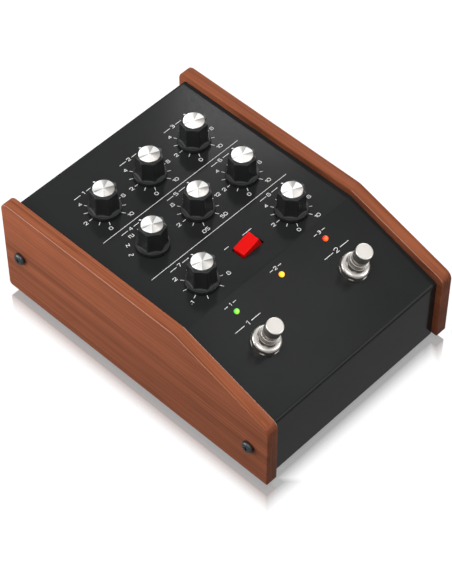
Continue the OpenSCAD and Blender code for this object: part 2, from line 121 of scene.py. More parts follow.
def add_node(
    tree: Tree,
    kind: str,
    inputs: Mapping[str | int, object] | None = None,
    stops: Sequence[tuple[float, Sequence[float]]] = (),
    **settings: object,
) -> Node:
    """Adds a node with its settings and links.

    Args:
        tree: the node tree that takes the node.
        kind: the node's type name, without ShaderNode before it.
        inputs: what each input takes, a value or another node's output.
        stops: a ramp's places, from 0 to 1, and the linear colour at each of them, in order.
        settings: the node's own fields.

    Returns:
        The new node.
    """
    node = tree.nodes.new(f"ShaderNode{kind}")
    for name, value in settings.items():
        setattr(node, name, value)
    for name, value in (inputs or {}).items():
        if isinstance(value, Socket):
            tree.links.new(value, node.inputs[name])
        else:
            node.inputs[name].default_value = value
    if stops:
        elements = node.color_ramp.elements
        elements.remove(elements[1])
        for place, colour in stops:
            elements.new(place).color = colour
        elements.remove(elements[0])
    return node


# Shapes


def rounded(points: Array, radii: Array, steps: int = 8, closed: bool = True) -> Array:
    """Turns the corners of a line into arcs.

    The arc at corner b, between a and c, has its centre at b + unit(u + w) r / sin(half), where u and w
    point from b to a and c and half is half the angle between them. It runs from one tangent point to
    the other. An open line's two ends stay as they are.

    Args:
        points: the corners, one row each.
        radii: the radius at each corner.
        steps: the number of steps in each arc.
        closed: whether the last corner joins the first.

    Returns:
        The rounded line's points.
    """
    corners = slice(None) if closed else slice(1, -1)
    b = points[corners]
    to_a = np.roll(points, 1, axis=0)[corners] - b
    to_c = np.roll(points, -1, axis=0)[corners] - b
    u = to_a / np.linalg.norm(to_a, axis=1, keepdims=True)
    w = to_c / np.linalg.norm(to_c, axis=1, keepdims=True)
    r = np.broadcast_to(radii, len(points))[corners][:, None]
    half = np.arccos(np.clip(np.sum(u * w, axis=1, keepdims=True), -1, 1)) / 2
    middle = u + w
    centre = b + middle / np.linalg.norm(middle, axis=1, keepdims=True) * r / np.sin(half)
    start = b + u * r / np.tan(half) - centre
    end = b + w * r / np.tan(half) - centre
    first = np.arctan2(start[:, 1], start[:, 0])
    turn = np.arctan2(end[:, 1], end[:, 0]) - first
    turn = (turn + np.pi) % (2 * np.pi) - np.pi
    angle = first[:, None] + turn[:, None] * np.linspace(0, 1, steps + 1)
    arcs = centre[:, None] + r[:, None] * np.stack([np.cos(angle), np.sin(angle)], axis=-1)
    line = arcs.reshape(-1, 2)
    return line if closed else np.concatenate([points[:1], line, points[-1:]])


def inset(points: Array, depth: float) -> Array:
    """Moves every side of an outline inwards: b - depth (m + n) / (1 + m.n).

    Here m and n are the outward normals of the sides before and after corner b.

    Args:
        points: the outline's corners, counter-clockwise.
        depth: how far its sides move.

    Returns:
        The new corners.
    """
    ahead = np.roll(points, -1, axis=0) - points
    ahead = ahead / np.linalg.norm(ahead, axis=1, keepdims=True)
    after = np.stack([ahead[:, 1], -ahead[:, 0]], axis=1)
    before = np.roll(after, 1, axis=0)
    return points - depth * (before + after) / (1 + np.sum(before * after, axis=1, keepdims=True))


def quarter_round(r: float, z: float, edge_r: float, steps: int = EDGE_STEPS) -> Array:
    """The profile of a rounded edge, up and in from (r, z - edge_r) to (r - edge_r, z).

    Point t lies at r - edge_r (1 - cos t) and z - edge_r (1 - sin t).

    Args:
        r: the radius of the side below the edge.
        z: the height of the face inside it.
        edge_r: the edge's own radius.
        steps: the number of steps.

    Returns:
        Radius and height, one row for each point.
    """
    t = np.linspace(0, np.pi / 2, steps + 1)
    return np.column_stack([r - edge_r * (1 - np.cos(t)), z - edge_r * (1 - np.sin(t))])


def stacked(rings: Sequence[Array], levels: Sequence[float] | Array) -> Array:
    """Sets flat rings of points at their levels, one row of a grid each."""
    return np.stack([np.column_stack([ring, np.full(len(ring), z)]) for ring, z in zip(rings, levels)])


def rounded_slab(
    outline: Array, radii: Array, low: float, high: float, edge_r: float, face_ring: float = 1.6
) -> Array:
    """Stacks an outline's rings into a slab whose edges are quarter rounds.

    Ring t of an edge is the outline moved in by edge_r (1 - sin t), at a distance edge_r (1 - cos t) from
    the face. One more ring just inside each edge keeps the flat faces flat in shading.

    Args:
        outline: the slab's corners, counter-clockwise.
        radii: the radius at each corner.
        low: the level of the lower face.
        high: the level of the upper face.
        edge_r: the radius of the rounded edges.
        face_ring: how far in the ring on each face lies, in edge radii.

    Returns:
        Rings of points, with the level as the third coordinate.
    """
    rise, depth = -quarter_round(0, 0, edge_r).T
    depth = np.concatenate([[face_ring * edge_r], depth])
    rise = np.concatenate([[0], rise])
    depths = np.concatenate([depth, depth[::-1]])
    levels = np.concatenate([low + rise, (high - rise)[::-1]])
    rings = [rounded(inset(outline, d), np.maximum(radii - d, SHARP_R)) for d in depths]
    return stacked(rings, levels)


def round_axis(r: Array, angle: Array, z: Array) -> Array:
    """Points by radius, angle and height round Z: (r cos a, r sin a, z)."""
    r, angle, z = np.broadcast_arrays(r, angle, z)
    return np.stack([r * np.cos(angle), r * np.sin(angle), z], axis=-1)


def lathe(profile: Array, columns: int = 120) -> Array:
    """Turns a profile round Z: P(s, a) = (r(s) cos a, r(s) sin a, z(s)).

    Args:
        profile: radius and height along the profile, one row each.
        columns: the number of steps in a full turn.

    Returns:
        The grid of points, one row for each point of the profile.
    """
    angle = np.linspace(0, 2 * np.pi, columns, endpoint=False)
    return round_axis(profile[:, :1], angle, profile[:, 1:])


@dataclass
class Surface:
    """A grid of points and the way that its borders close.

    Attributes:
        points: rows by columns by three, in millimetres.
        ring: whether the last row joins the first.
        capped: whether the first and last rows are closed by a flat face.
    """

    points: Array
    ring: bool = False
    capped: bool = False

    def quads(self, start: int) -> Array:
        """The corners of the four-sided faces; the columns always close.

        Args:
            start: the number of the grid's first point.

        Returns:
            Four point numbers for each face.
        """
        rows, columns = self.points.shape[:2]
        number = np.arange(rows * columns).reshape(rows, columns) + start
        low = number if self.ring else number[:-1]
        high = np.roll(number, -1, axis=0) if self.ring else number[1:]
        faces = np.stack([low, np.roll(low, -1, axis=1), np.roll(high, -1, axis=1), high], axis=-1)
        return faces.reshape(-1, 4)

    def ends(self, start: int) -> list[list[int]]:
        """The flat faces over the first and last rows, where the surface is capped.

        Args:
            start: the number of the grid's first point.

        Returns:
            The point numbers of each face.
        """
        rows, columns = self.points.shape[:2]
        first = np.arange(columns) + start
        return [first.tolist(), (first + (rows - 1) * columns).tolist()] if self.capped else []

    def unrolled(self) -> Array:
        """Where the faces' corners lie on the unrolled grid: across by column, up by row.

        Returns:
            One place for each corner of each face.
        """
        rows, columns = self.points.shape[:2]
        row, column = np.mgrid[0:rows if self.ring else rows - 1, 0:columns]
        corners = [(0, 0), (0, 1), (1, 1), (1, 0)]
        return np.stack([
            np.stack([(column + c) / columns, (row + r) / (rows - 1)], axis=-1) for r, c in corners
        ], axis=2).reshape(-1, 2)


def make_piece(
    name: str,
    surfaces: Sequence[Surface],
    finish: "Finish",
    crease: float = 32,
    uv_map: str | None = None,
) -> bpy.types.Object:
    """Writes surfaces into one closed mesh piece.

    Args:
        name: the piece's name.
        surfaces: the grids that it is made of.
        finish: the finish on all its faces.
        crease: edges that turn by more than this many degrees stay sharp.
        uv_map: the name of a map of the unrolled grids, where the finish needs one.

    Returns:
        The new object, at the origin.
    """
    sizes = [surface.points.shape[0] * surface.points.shape[1] for surface in surfaces]
    starts = np.concatenate([[0], np.cumsum(sizes)[:-1]]).astype(int)
    points = np.concatenate([surface.points.reshape(-1, 3) for surface in surfaces]) * MM
    faces: list[list[int]] = []
    for surface, start in zip(surfaces, starts):
        faces += surface.quads(start).tolist() + surface.ends(start)
    mesh = bpy.data.meshes.new(name)
    mesh.from_pydata(points.tolist(), [], faces)
    if uv_map:
        corners = np.concatenate([surface.unrolled() for surface in surfaces])
        mesh.uv_layers.new(name=uv_map).data.foreach_set("uv", corners.astype(np.float32).ravel())
    close_and_shade(mesh, crease)
    mesh.materials.append(finish.material())
    piece = bpy.data.objects.new(name, mesh)
    bpy.context.scene.collection.objects.link(piece)
    return piece


def close_and_shade(mesh: bpy.types.Mesh, crease: float) -> None:
    """Merges the points that meet at a pole, turns the faces outwards and smooths all but sharp edges.

    Args:
        mesh: the piece's mesh.
        crease: edges that turn by more than this many degrees stay sharp.
    """
    work = bmesh.new()
    work.from_mesh(mesh)
    bmesh.ops.remove_doubles(work, verts=work.verts, dist=WELD_DISTANCE)
    bmesh.ops.recalc_face_normals(work, faces=work.faces)
    work.to_mesh(mesh)
    work.free()
    mesh.shade_smooth()
    mesh.set_sharp_from_angle(angle=np.radians(crease))


def points_of(piece: bpy.types.Object) -> Array:
    """Reads a piece's points.

    Args:
        piece: the piece.

    Returns:
        One row for each point, in millimetres.
    """
    flat = np.empty(len(piece.data.vertices) * 3, np.float32)
    piece.data.vertices.foreach_get("co", flat)
    return flat.reshape(-1, 3) / MM


def mark(piece: bpy.types.Object, name: str, shares: Array) -> None:
    """Writes a share for each of a piece's points into an attribute, which its finish reads."""
    attribute = piece.data.attributes.new(name, "FLOAT", "POINT")
    attribute.data.foreach_set("value", shares.astype(np.float32))


def fit(piece: bpy.types.Object, body: str, slot: str, *nodes: str) -> None:
    """Lets a piece ride on a body and stand for the solids that it replaces.

    Args:
        piece: the finished piece.
        body: the body that it moves with.
        slot: the record's material slot of its finish; not used.
        nodes: the solids that it stands for.
    """
    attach(piece, body)
    if nodes:
        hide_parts(*nodes)
    LOG.info("%s rides on %s, %d faces", piece.name, body, len(piece.data.polygons))


# Finishes


@dataclass(frozen=True)
class Finish:
    """A surface finish: what the material is and how its surface was made.

    Attributes:
        name: the material's name.
        colour: its main colour, as an sRGB hex value.
        roughness: how far it spreads a reflection.
        metallic: 1 for a bare or plated metal.
        specular: the strength of a non-metal's reflection.
        grain: the size of its finest unevenness, in millimetres.
        unevenness: how far its roughness varies.
        relief: the depth of its unevenness, in millimetres.
    """

    name: str
    colour: str
    roughness: float
    metallic: float = 0.0
    specular: float = 0.5
    grain: float = 1.0
    unevenness: float = 0.06
    relief: float = 0.01

    def material(self) -> bpy.types.Material:
        """Makes the material, or finds it where it was made before.

        Returns:
            The material with its nodes.
        """
        made = bpy.data.materials.get(self.name)
        if made:
            return made
        made = bpy.data.materials.new(self.name)
        made.use_nodes = True
        tree = made.node_tree
        shader = tree.nodes["Principled BSDF"]
        shader.inputs["Base Color"].default_value = linear(self.colour)
        shader.inputs["Metallic"].default_value = self.metallic
        shader.inputs["Roughness"].default_value = self.roughness
        shader.inputs["Specular IOR Level"].default_value = self.specular
        place = add_node(tree, "TexCoord").outputs["Object"]
        self.pattern(tree, shader, place)
        return made

    def pattern(self, tree: Tree, shader: Node, place: Socket) -> None:
        """Adds the fine unevenness of a moulded, rolled or coated skin.

        Args:
            tree: the material's nodes.
            shader: its surface shader.
            place: the point's place on the piece.
        """
        noise = add_node(tree, "TexNoise", {
            "Vector": place, "Scale": per_metre(self.grain), "Detail": 3.0,
        }).outputs["Fac"]
        self.vary_roughness(tree, shader, noise)
        self.raise_relief(tree, shader, noise)

    def vary_roughness(self, tree: Tree, shader: Node, pattern: Socket) -> None:
        """Lets the roughness follow a pattern, by the finish's unevenness to either side.

        Args:
            tree: the material's nodes.
            shader: its surface shader.
            pattern: the pattern's value.
        """
        spread = add_node(tree, "MapRange", {
            "Value": pattern, **span_inputs(NOISE_SPAN),
            "To Min": self.roughness - self.unevenness, "To Max": self.roughness + self.unevenness,
        })
        tree.links.new(spread.outputs["Result"], shader.inputs["Roughness"])

    def lay_tones(self, tree: Tree, shader: Node, tones: Sequence[tuple[Socket, str]]) -> None:
        """Lays tones over the finish's colour, one after another.

        Args:
            tree: the material's nodes.
            shader: its surface shader.
            tones: the share that each tone takes and the tone, as an sRGB hex value.
        """
        colour = linear(self.colour)
        for share, tone in tones:
            colour = add_node(tree, "Mix", {
                "Factor": share, "A": colour, "B": linear(tone),
            }, data_type="RGBA").outputs[2]
        tree.links.new(colour, shader.inputs["Base Color"])

    def raise_relief(self, tree: Tree, shader: Node, pattern: Socket) -> None:
        """Lets the surface rise and fall with a pattern, by the finish's relief."""
        bump = add_node(tree, "Bump", {"Height": pattern, "Distance": self.relief * MM})
        tree.links.new(bump.outputs["Normal"], shader.inputs["Normal"])


@dataclass(frozen=True)
class PowderCoat(Finish):
    """Sheet steel with a baked powder coat: a weak sheen, a fine even texture and faint cloudiness.

    Attributes:
        cloud: the size of a cloud.
        light_colour: the tone of the pale clouds.
    """

    cloud: float = 22.0
    light_colour: str = "#282929"

    def pattern(self, tree: Tree, shader: Node, place: Socket) -> None:
        """Adds cloudy tone and texture; the real grain is too fine to show, so it is drawn coarser.

        Args:
            tree: the material's nodes.
            shader: its surface shader.
            place: the point's place on the piece.
        """
        super().pattern(tree, shader, place)
        cloud = add_node(tree, "TexNoise", {
            "Vector": place, "Scale": per_metre(self.cloud), "Detail": 4.0,
        })
        self.lay_tones(tree, shader, [(cloud.outputs["Fac"], self.light_colour)])


@dataclass(frozen=True)
class StraightGrain(Finish):
    """Quarter-sawn mahogany under satin varnish: a tone by height, streaks and short dark pores along the board.

    A face's way is told by its normal's share of an axis. Each pair of such shares is where faces of a
    kind begin and where they are wholly of that kind.

    Attributes:
        light_colour: the pale tone of bands, streaks and the tone by height.
        pore_colour: the tone of the open pores.
        rubbed_colour: the tone of the painted highlight on the rounded edges.
        board_h: the board's height.
        layers: heights on the board and the tone there, from the mean; darkest near the foot, palest below the top
            edge.
        band: the width and length of a tone band.
        streak: the width and length of a streak.
        end_streak: the width and length of a streak on the end grain.
        contrast: how much the streaks are strengthened round their mean.
        tone_span: the sums of band, streak and tone by height at the darkest and at the palest tone.
        pore: the width and length of a pore.
        pore_span: the noise values between which a pore opens.
        pore_share: how far an open pore takes its tone.
        upright_faces: the upward shares of the faces that count as upright.
        end_faces: the shares along the board of the faces that are end grain.
        end_shade: how much darker the end grain is.
        rubbed_faces: the upward shares of the faces that carry the painted highlight.
        rubbed_share: how far a marked edge takes the painted highlight's tone.
        edge: the attribute that marks where the rounded edges carry the painted highlight.
    """

    light_colour: str = "#AC6344"
    pore_colour: str = "#5A2F20"
    rubbed_colour: str = "#DDC0B5"
    board_h: float = 85.0
    layers: tuple[Pair, ...] = (
        (5, -0.2), (28, -0.1), (40, 0.1), (58, 0.0), (70, 0.27), (78, 0.12), (85, 0.0),
    )
    band: Pair = (8.0, 400.0)
    streak: Pair = (0.9, 150.0)
    end_streak: Pair = (0.9, 40.0)
    contrast: float = 1.6
    tone_span: Pair = (1.15, 1.85)
    pore: Pair = (0.5, 40.0)
    pore_span: Pair = (0.58, 0.72)
    pore_share: float = 0.5
    upright_faces: Pair = (0.85, 0.5)
    end_faces: Pair = (0.6, 0.95)
    end_shade: float = 0.3
    rubbed_faces: Pair = (0.2, 0.5)
    rubbed_share: float = 0.5
    edge: str = "edge"

    def drawn_out(self, tree: Tree, place: Socket, sizes: Sequence[float], detail: float) -> Socket:
        """Adds a noise whose features have a size of their own along each axis.

        Args:
            tree: the material's nodes.
            place: the point's place on the board.
            sizes: the features' size along X, Y and Z.
            detail: the number of finer layers.

        Returns:
            The noise's value.
        """
        drawn = add_node(tree, "Mapping", {
            "Vector": place, "Scale": [per_metre(size) for size in sizes],
        })
        noise = add_node(tree, "TexNoise", {
            "Vector": drawn.outputs["Vector"], "Scale": 1.0, "Detail": detail,
        })
        return noise.outputs["Fac"]

    def along_grain(self, tree: Tree, place: Socket, size: Pair, detail: float) -> Socket:
        """Adds a noise that is drawn out along Y, by its width and length."""
        across, along = size
        return self.drawn_out(tree, place, (across, along, across), detail)

    def lay_along(self, tree: Tree, place: Socket, upright: Socket) -> Socket:
        """Takes the height out of the place on upward faces, so that the grain follows a sloping edge.

        Args:
            tree: the material's nodes.
            place: the point's place on the board.
            upright: 1 on upright faces, 0 on upward ones.

        Returns:
            The place to draw the grain at.
        """
        parts = add_node(tree, "SeparateXYZ", {0: place})
        level = add_node(tree, "Math", {0: parts.outputs["Z"], 1: upright}, operation="MULTIPLY")
        laid = add_node(tree, "CombineXYZ", {
            "X": parts.outputs["X"], "Y": parts.outputs["Y"], "Z": level.outputs[0],
        })
        return laid.outputs["Vector"]

    def layer_tone(self, tree: Tree, place: Socket) -> Socket:
        """The tone by height on the board, to either side of the mean.

        Args:
            tree: the material's nodes.
            place: the point's place on the board.

        Returns:
            The tone.
        """
        level = add_node(tree, "SeparateXYZ", {0: place}).outputs["Z"]
        height = add_node(tree, "Math", {0: level, 1: self.board_h * MM}, operation="DIVIDE")
        stops = [(z / self.board_h, (NOISE_MEAN + tone,) * 3 + (1.0,)) for z, tone in self.layers]
        return add_node(tree, "ValToRGB", {"Fac": height.outputs[0]}, stops).outputs["Color"]

    def paleness(self, tree: Tree, place: Socket, laid: Socket, streaks: Socket) -> Socket:
        """Adds up bands, streaks and the tone by height.

        Args:
            tree: the material's nodes.
            place: the point's place on the board.
            laid: the place to draw the bands at.
            streaks: the streaks' value.

        Returns:
            The share of the pale layers' tone.
        """
        bands = self.along_grain(tree, laid, self.band, detail=2.0)
        marked = add_node(tree, "Math", {
            0: streaks, 1: self.contrast, 2: NOISE_MEAN * (1 - self.contrast),
        }, operation="MULTIPLY_ADD").outputs[0]
        total = bands
        for part in (marked, self.layer_tone(tree, place)):
            total = add_node(tree, "Math", {0: total, 1: part}, operation="ADD").outputs[0]
        share = add_node(tree, "MapRange", {"Value": total, **span_inputs(self.tone_span)})
        return share.outputs["Result"]

    def pattern(self, tree: Tree, shader: Node, place: Socket) -> None:
        """Adds the tone by height, bands, streaks and pores, a darker end grain and a painted highlight on marked
        edges.

        Args:
            tree: the material's nodes.
            shader: its surface shader.
            place: the point's place on the board.
        """
        facing = add_node(tree, "TexCoord").outputs["Normal"]
        axes = add_node(tree, "SeparateXYZ", {0: facing}).outputs
        ahead = add_node(tree, "Math", {0: axes["Y"]}, operation="ABSOLUTE").outputs[0]
        upright, end = (
            add_node(tree, "MapRange", {"Value": value, **span_inputs(span)}).outputs["Result"]
            for value, span in ((axes["Z"], self.upright_faces), (ahead, self.end_faces))
        )
        laid = self.lay_along(tree, place, upright)
        streaks = self.along_grain(tree, laid, self.streak, detail=4.0)
        across, along = self.end_streak
        end_streaks = self.drawn_out(tree, place, (across, along, along), detail=3.0)
        lines = add_node(tree, "Mix", {"Factor": end, "A": streaks, "B": end_streaks}).outputs[0]
        pores = self.along_grain(tree, laid, self.pore, detail=1.0)
        open_pore, upward = (
            add_node(tree, "MapRange", {
                "Value": value, **span_inputs(span), "To Max": most,
            }).outputs["Result"]
            for value, span, most in (
                (pores, self.pore_span, self.pore_share), (axes["Z"], self.rubbed_faces, self.rubbed_share),
            )
        )
        # The pale tone on marked edges of upward faces is a painted highlight.
        edge = add_node(tree, "Attribute", attribute_name=self.edge).outputs["Fac"]
        shade, painted_highlight = (
            add_node(tree, "Math", {0: value, 1: share}, operation="MULTIPLY").outputs[0]
            for value, share in ((end, self.end_shade), (edge, upward))
        )
        self.lay_tones(tree, shader, [
            (self.paleness(tree, place, laid, lines), self.light_colour), (open_pore, self.pore_colour),
            (shade, self.pore_colour), (painted_highlight, self.rubbed_colour),
        ])
        self.vary_roughness(tree, shader, streaks)
        self.raise_relief(tree, shader, streaks)


# The tones of a spun disc's painted reflection, in sectors round the disc
BRIGHT, GREY, DEEP_GREY, WARM_GREY = "#EEEEEC", "#AAAAAA", "#908E8B", "#B8B4B0"


@dataclass(frozen=True)
class SpunMetal(Finish):
    """Aluminium turned on a lathe: drawn-out highlights, and a painted reflection in sectors of tone that turn
    with the piece.

    Attributes:
        uv_map: the map whose first coordinate runs once round the disc.
        drawn_out: how far a highlight is drawn out across the tool marks.
        fans: where the painted reflection's tone turns, in degrees round the disc from +X, and the tone from there
            on.
    """

    uv_map: str = "turned"
    drawn_out: float = 0.85
    fans: tuple[tuple[float, str], ...] = (
        (0, BRIGHT), (20, BRIGHT), (24, GREY), (44, WARM_GREY), (72, BRIGHT), (150, BRIGHT), (160, WARM_GREY),
        (167, DEEP_GREY), (171, BRIGHT), (222, BRIGHT), (228, GREY), (232, WARM_GREY), (296, WARM_GREY),
        (326, DEEP_GREY), (332, DEEP_GREY), (336, BRIGHT), (360, BRIGHT),
    )

    def pattern(self, tree: Tree, shader: Node, place: Socket) -> None:
        """Lays the highlights across the tool marks, which run round the disc, and paints the reflection's sectors
        into the colour.

        Args:
            tree: the material's nodes.
            shader: its surface shader.
            place: the point's place on the piece.
        """
        place_round = add_node(tree, "UVMap", uv_map=self.uv_map)
        turn = add_node(tree, "SeparateXYZ", {0: place_round.outputs["UV"]})
        # A reflection of bright and grey surroundings, painted into the base colour sector by sector
        stops = [(angle / 360, linear(tone)) for angle, tone in self.fans]
        fans = add_node(tree, "ValToRGB", {"Fac": turn.outputs["X"]}, stops)
        tree.links.new(fans.outputs["Color"], shader.inputs["Base Color"])
        shader.inputs["Anisotropic"].default_value = self.drawn_out
        tangent = add_node(tree, "Tangent", direction_type="UV_MAP", uv_map=self.uv_map)
        tree.links.new(tangent.outputs["Tangent"], shader.inputs["Tangent"])
        noise = add_node(tree, "TexNoise", {
            "Vector": place, "Scale": per_metre(self.grain), "Detail": 2.0,
        })
        self.vary_roughness(tree, shader, noise.outputs["Fac"])


@dataclass(frozen=True)
class LitResin(Finish):
    """A lamp's tinted epoxy dome, lit from inside: bright at its heart and deep in colour at its rim.

    Attributes:
        heart: the colour of the light at its heart.
        glow: the strength of the light.
        attribute: the attribute that marks how far a point is from the heart.
    """

    heart: str = "#FFF0A0"
    glow: float = 1.6
    attribute: str = "rim"

    def pattern(self, tree: Tree, shader: Node, place: Socket) -> None:
        """Lets the light deepen from heart to rim, by the dome's own attribute.

        Args:
            tree: the material's nodes.
            shader: its surface shader.
            place: the point's place on the piece.
        """
        rim = add_node(tree, "Attribute", attribute_name=self.attribute)
        light = add_node(tree, "Mix", {
            "Factor": rim.outputs["Fac"], "A": linear(self.heart), "B": linear(self.colour),
        }, data_type="RGBA")
        tree.links.new(light.outputs[2], shader.inputs["Emission Color"])
        shader.inputs["Emission Strength"].default_value = self.glow


@dataclass(frozen=True)
class Striped(Finish):
    """A flat ribbon of bonded wires, with ridges side by side across X.

    Attributes:
        pitch: the distance from wire to wire.
        wave_turn: how far a wave texture of scale 1 turns in a metre, in radians.
    """

    pitch: float = 1.27
    wave_turn: float = 20.0

    def pattern(self, tree: Tree, shader: Node, place: Socket) -> None:
        """Adds ridges across X; they come out 2 pi times as wide as the wires.

        Args:
            tree: the material's nodes.
            shader: its surface shader.
            place: the point's place on the piece.
        """
        wires = add_node(tree, "TexWave", {
            "Vector": place, "Scale": per_metre(self.pitch) / self.wave_turn,
        }, bands_direction="X")
        self.vary_roughness(tree, shader, wires.outputs["Fac"])
        self.raise_relief(tree, shader, wires.outputs["Fac"])


@dataclass(frozen=True)
class Lacquered(Finish):
    """A circuit board's green lacquer, paler over the copper tracks beneath it.

    Attributes:
        track_colour: the tone over a track.
        track: the distance from track to track.
        track_span: the distances from a cell's middle between which a track begins, in cells.
    """

    track_colour: str = "#3C8256"
    track: float = 3.0
    track_span: Pair = (0.35, 0.45)

    def pattern(self, tree: Tree, shader: Node, place: Socket) -> None:
        """Adds tracks as the borders of a field of square cells.

        Args:
            tree: the material's nodes.
            shader: its surface shader.
            place: the point's place on the piece.
        """
        cells = add_node(tree, "TexVoronoi", {
            "Vector": place, "Scale": per_metre(self.track),
        }, feature="F1", distance="CHEBYCHEV")
        track = add_node(tree, "MapRange", {
            "Value": cells.outputs["Distance"], **span_inputs(self.track_span),
        })
        self.lay_tones(tree, shader, [(track.outputs["Result"], self.track_colour)])


class Slot(Enum):
    """The record's material slots and the finish that each one takes."""

    # A black skin with a weak but fairly clear sheen
    powder_coated_steel = PowderCoat(
        "powder_coated_sheet_steel", "#222323", 0.15, specular=0.11, grain=0.9, relief=0.004
    )
    # Warm red-brown wood with little shine, with a painted highlight along some edges
    mahogany = StraightGrain(
        "mahogany_satin_varnished", "#824A32", 0.42, specular=0.06, unevenness=0.05, relief=0.008
    )
    # Dull dark metal with a faint gleam
    black_oxide_steel = Finish("black_oxide_steel_forged", "#55585A", 0.4, metallic=1.0, grain=0.8)
    # Pale grey metal with a soft gleam
    zinc_plated_steel = Finish("zinc_plated_steel_pressed", "#B4B6B4", 0.3, metallic=1.0)
    # Dead black with hardly a highlight
    black_rubber = Finish("black_rubber_moulded", "#171717", 0.75, specular=0.3, relief=0.02)
    # Glossy green, paler over the tracks
    circuit_board = Lacquered("glass_epoxy_board_lacquered", "#1F5A38", 0.32)
    # Warm yellow metal with a clear gleam
    brass = Finish("brass_turned", "#C3A55C", 0.28, metallic=1.0)
    # Matt grey with ridges along it
    grey_ribbon = Striped("vinyl_ribbon_extruded", "#8A8D91", 0.5, relief=0.2)
    # Dark blue with a soft gloss
    blue_sleeve = Finish("vinyl_sleeve_shrunk", "#22324C", 0.36)
    # Black with a blurred highlight
    black_plastic = Finish("nylon_black_moulded", "#1B1C1D", 0.48)
    # Deep black with clear, narrow highlights
    gloss_black_plastic = Finish(
        "phenolic_black_polished", "#2A2B2B", 0.24, specular=0.2, grain=3.0, unevenness=0.02, relief=0.01
    )
    # Bright metal whose highlights fan out from the middle, over a painted reflection in grey and bright sectors
    spun_aluminium = SpunMetal("aluminium_spun", "#E2E1DE", 0.3, metallic=1.0, grain=0.6, unevenness=0.03)
    # Strong opaque red with a soft gloss
    red_plastic = Finish(
        "abs_red_moulded", "#EA100E", 0.3, specular=0.12, grain=0.7, unevenness=0.05, relief=0.002
    )
    # Clear colours that glow from inside
    green_lamp = LitResin("epoxy_green_lit", "#2F9E30", 0.18, heart="#B4E446")
    amber_lamp = LitResin("epoxy_amber_lit", "#FF9A14", 0.18, heart="#FFE04A")
    red_lamp = LitResin("epoxy_red_lit", "#EE2214", 0.18, heart="#F27A26")
    # Warm bright metal that mirrors what is round it
    polished_nickel = Finish(
        "nickel_plated_brass_polished", "#CCC8C3", 0.3, metallic=1.0, grain=2.5, unevenness=0.03, relief=0.01
    )


# Flat white without shine
SCREEN_INK = Finish("screen_ink_white_printed", "#FAFAF8", 0.55, grain=0.8)
# Smooth white paint with a little shine
POINTER_INK = Finish("acrylic_white_filled", "#F2F2EF", 0.4, grain=0.8)
# Pale metal with a blurred reflection
SATIN_NICKEL = Finish(
    "nickel_plated_brass_brushed", "#DCD8D2", 0.35, metallic=1.0, grain=2.5, unevenness=0.02, relief=0.01
)


# The case and what is printed on it


@dataclass(frozen=True)
class Case:
    """The folded cover's two upper faces, which carry the controls and the print.

    Attributes:
        panel_h: the height of the level panel.
        slope: the angle of the front slope, in radians.
        bend_y: where the panel bends down into the slope.
        columns: the three columns of controls.
        rows: the three rows of knobs, from the rear.
        footswitch_drop: how far below the bend the footswitches stand, along the slope.
        lamp_drop: how far below the bend the lamps stand, along the slope.
    """

    panel_h: float
    slope: float
    bend_y: float = -37.0
    columns: Triple = (-40.0, 0.0, 40.0)
    rows: Triple = (66.5, 24.0, -18.5)
    footswitch_drop: float = 36.5
    lamp_drop: float = 11.0

    @classmethod
    def from_frame(cls) -> "Case":
        """Reads the panel's height and the slope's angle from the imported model.

        Returns:
            The case.
        """
        press = next(joint for joint in frame["joints"] if joint["name"] == "left_press")
        _, ahead, down = press["axis"]
        return cls(panel_h=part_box("top_cover")[1].z / MM, slope=float(np.arctan2(ahead, -down)))

    def on_panel(self, points: Array, x: float, y: float) -> Array:
        """Sets points that are drawn round the origin down on the level panel at x, y."""
        return points + np.array([x, y, self.panel_h])

    def on_slope(self, points: Array, x: float, drop: float) -> Array:
        """Sets points down on the slope.

        They turn about X by the slope's angle a, (y, z) to (y cos a - z sin a, y sin a + z cos a), and
        move to the bend.

        Args:
            points: the points, drawn round the origin.
            x: their place across the slope.
            drop: their place below the bend, along the slope.

        Returns:
            The points in the part's frame.
        """
        c, s = np.cos(self.slope), np.sin(self.slope)
        x_at, y, z = points[..., 0] + x, points[..., 1] - drop, points[..., 2]
        return np.stack([x_at, y * c - z * s + self.bend_y, y * s + z * c + self.panel_h], axis=-1)


def stroke(path: Array, width: float, thick: float, sunk: float, ring: bool = False) -> Surface:
    """Carries a flat bar along a path on the panel.

    The bar's two sides lie at path + n width / 2 and path - n width / 2, where n is the path's mitred
    normal. Its top is at thick and its underside at -sunk.

    Args:
        path: the path's points, x and y.
        width: the bar's width.
        thick: how far it stands proud.
        sunk: how far it reaches into the surface.
        ring: whether the path closes on itself.

    Returns:
        The closed bar.
    """
    ahead = np.roll(path, -1, axis=0) - path
    if not ring:
        ahead[-1] = ahead[-2]
    ahead = ahead / np.linalg.norm(ahead, axis=1, keepdims=True)
    after = np.stack([-ahead[:, 1], ahead[:, 0]], axis=1)
    before = np.roll(after, 1, axis=0)
    if not ring:
        before[0] = after[0]
    n = (before + after) / np.maximum(1 + np.sum(before * after, axis=1, keepdims=True), MITRE_LIMIT)
    left, right = path + n * width / 2, path - n * width / 2
    sides = stacked([left, right, right, left], [-sunk, -sunk, thick, thick])
    return Surface(np.swapaxes(sides, 0, 1), ring=ring, capped=not ring)


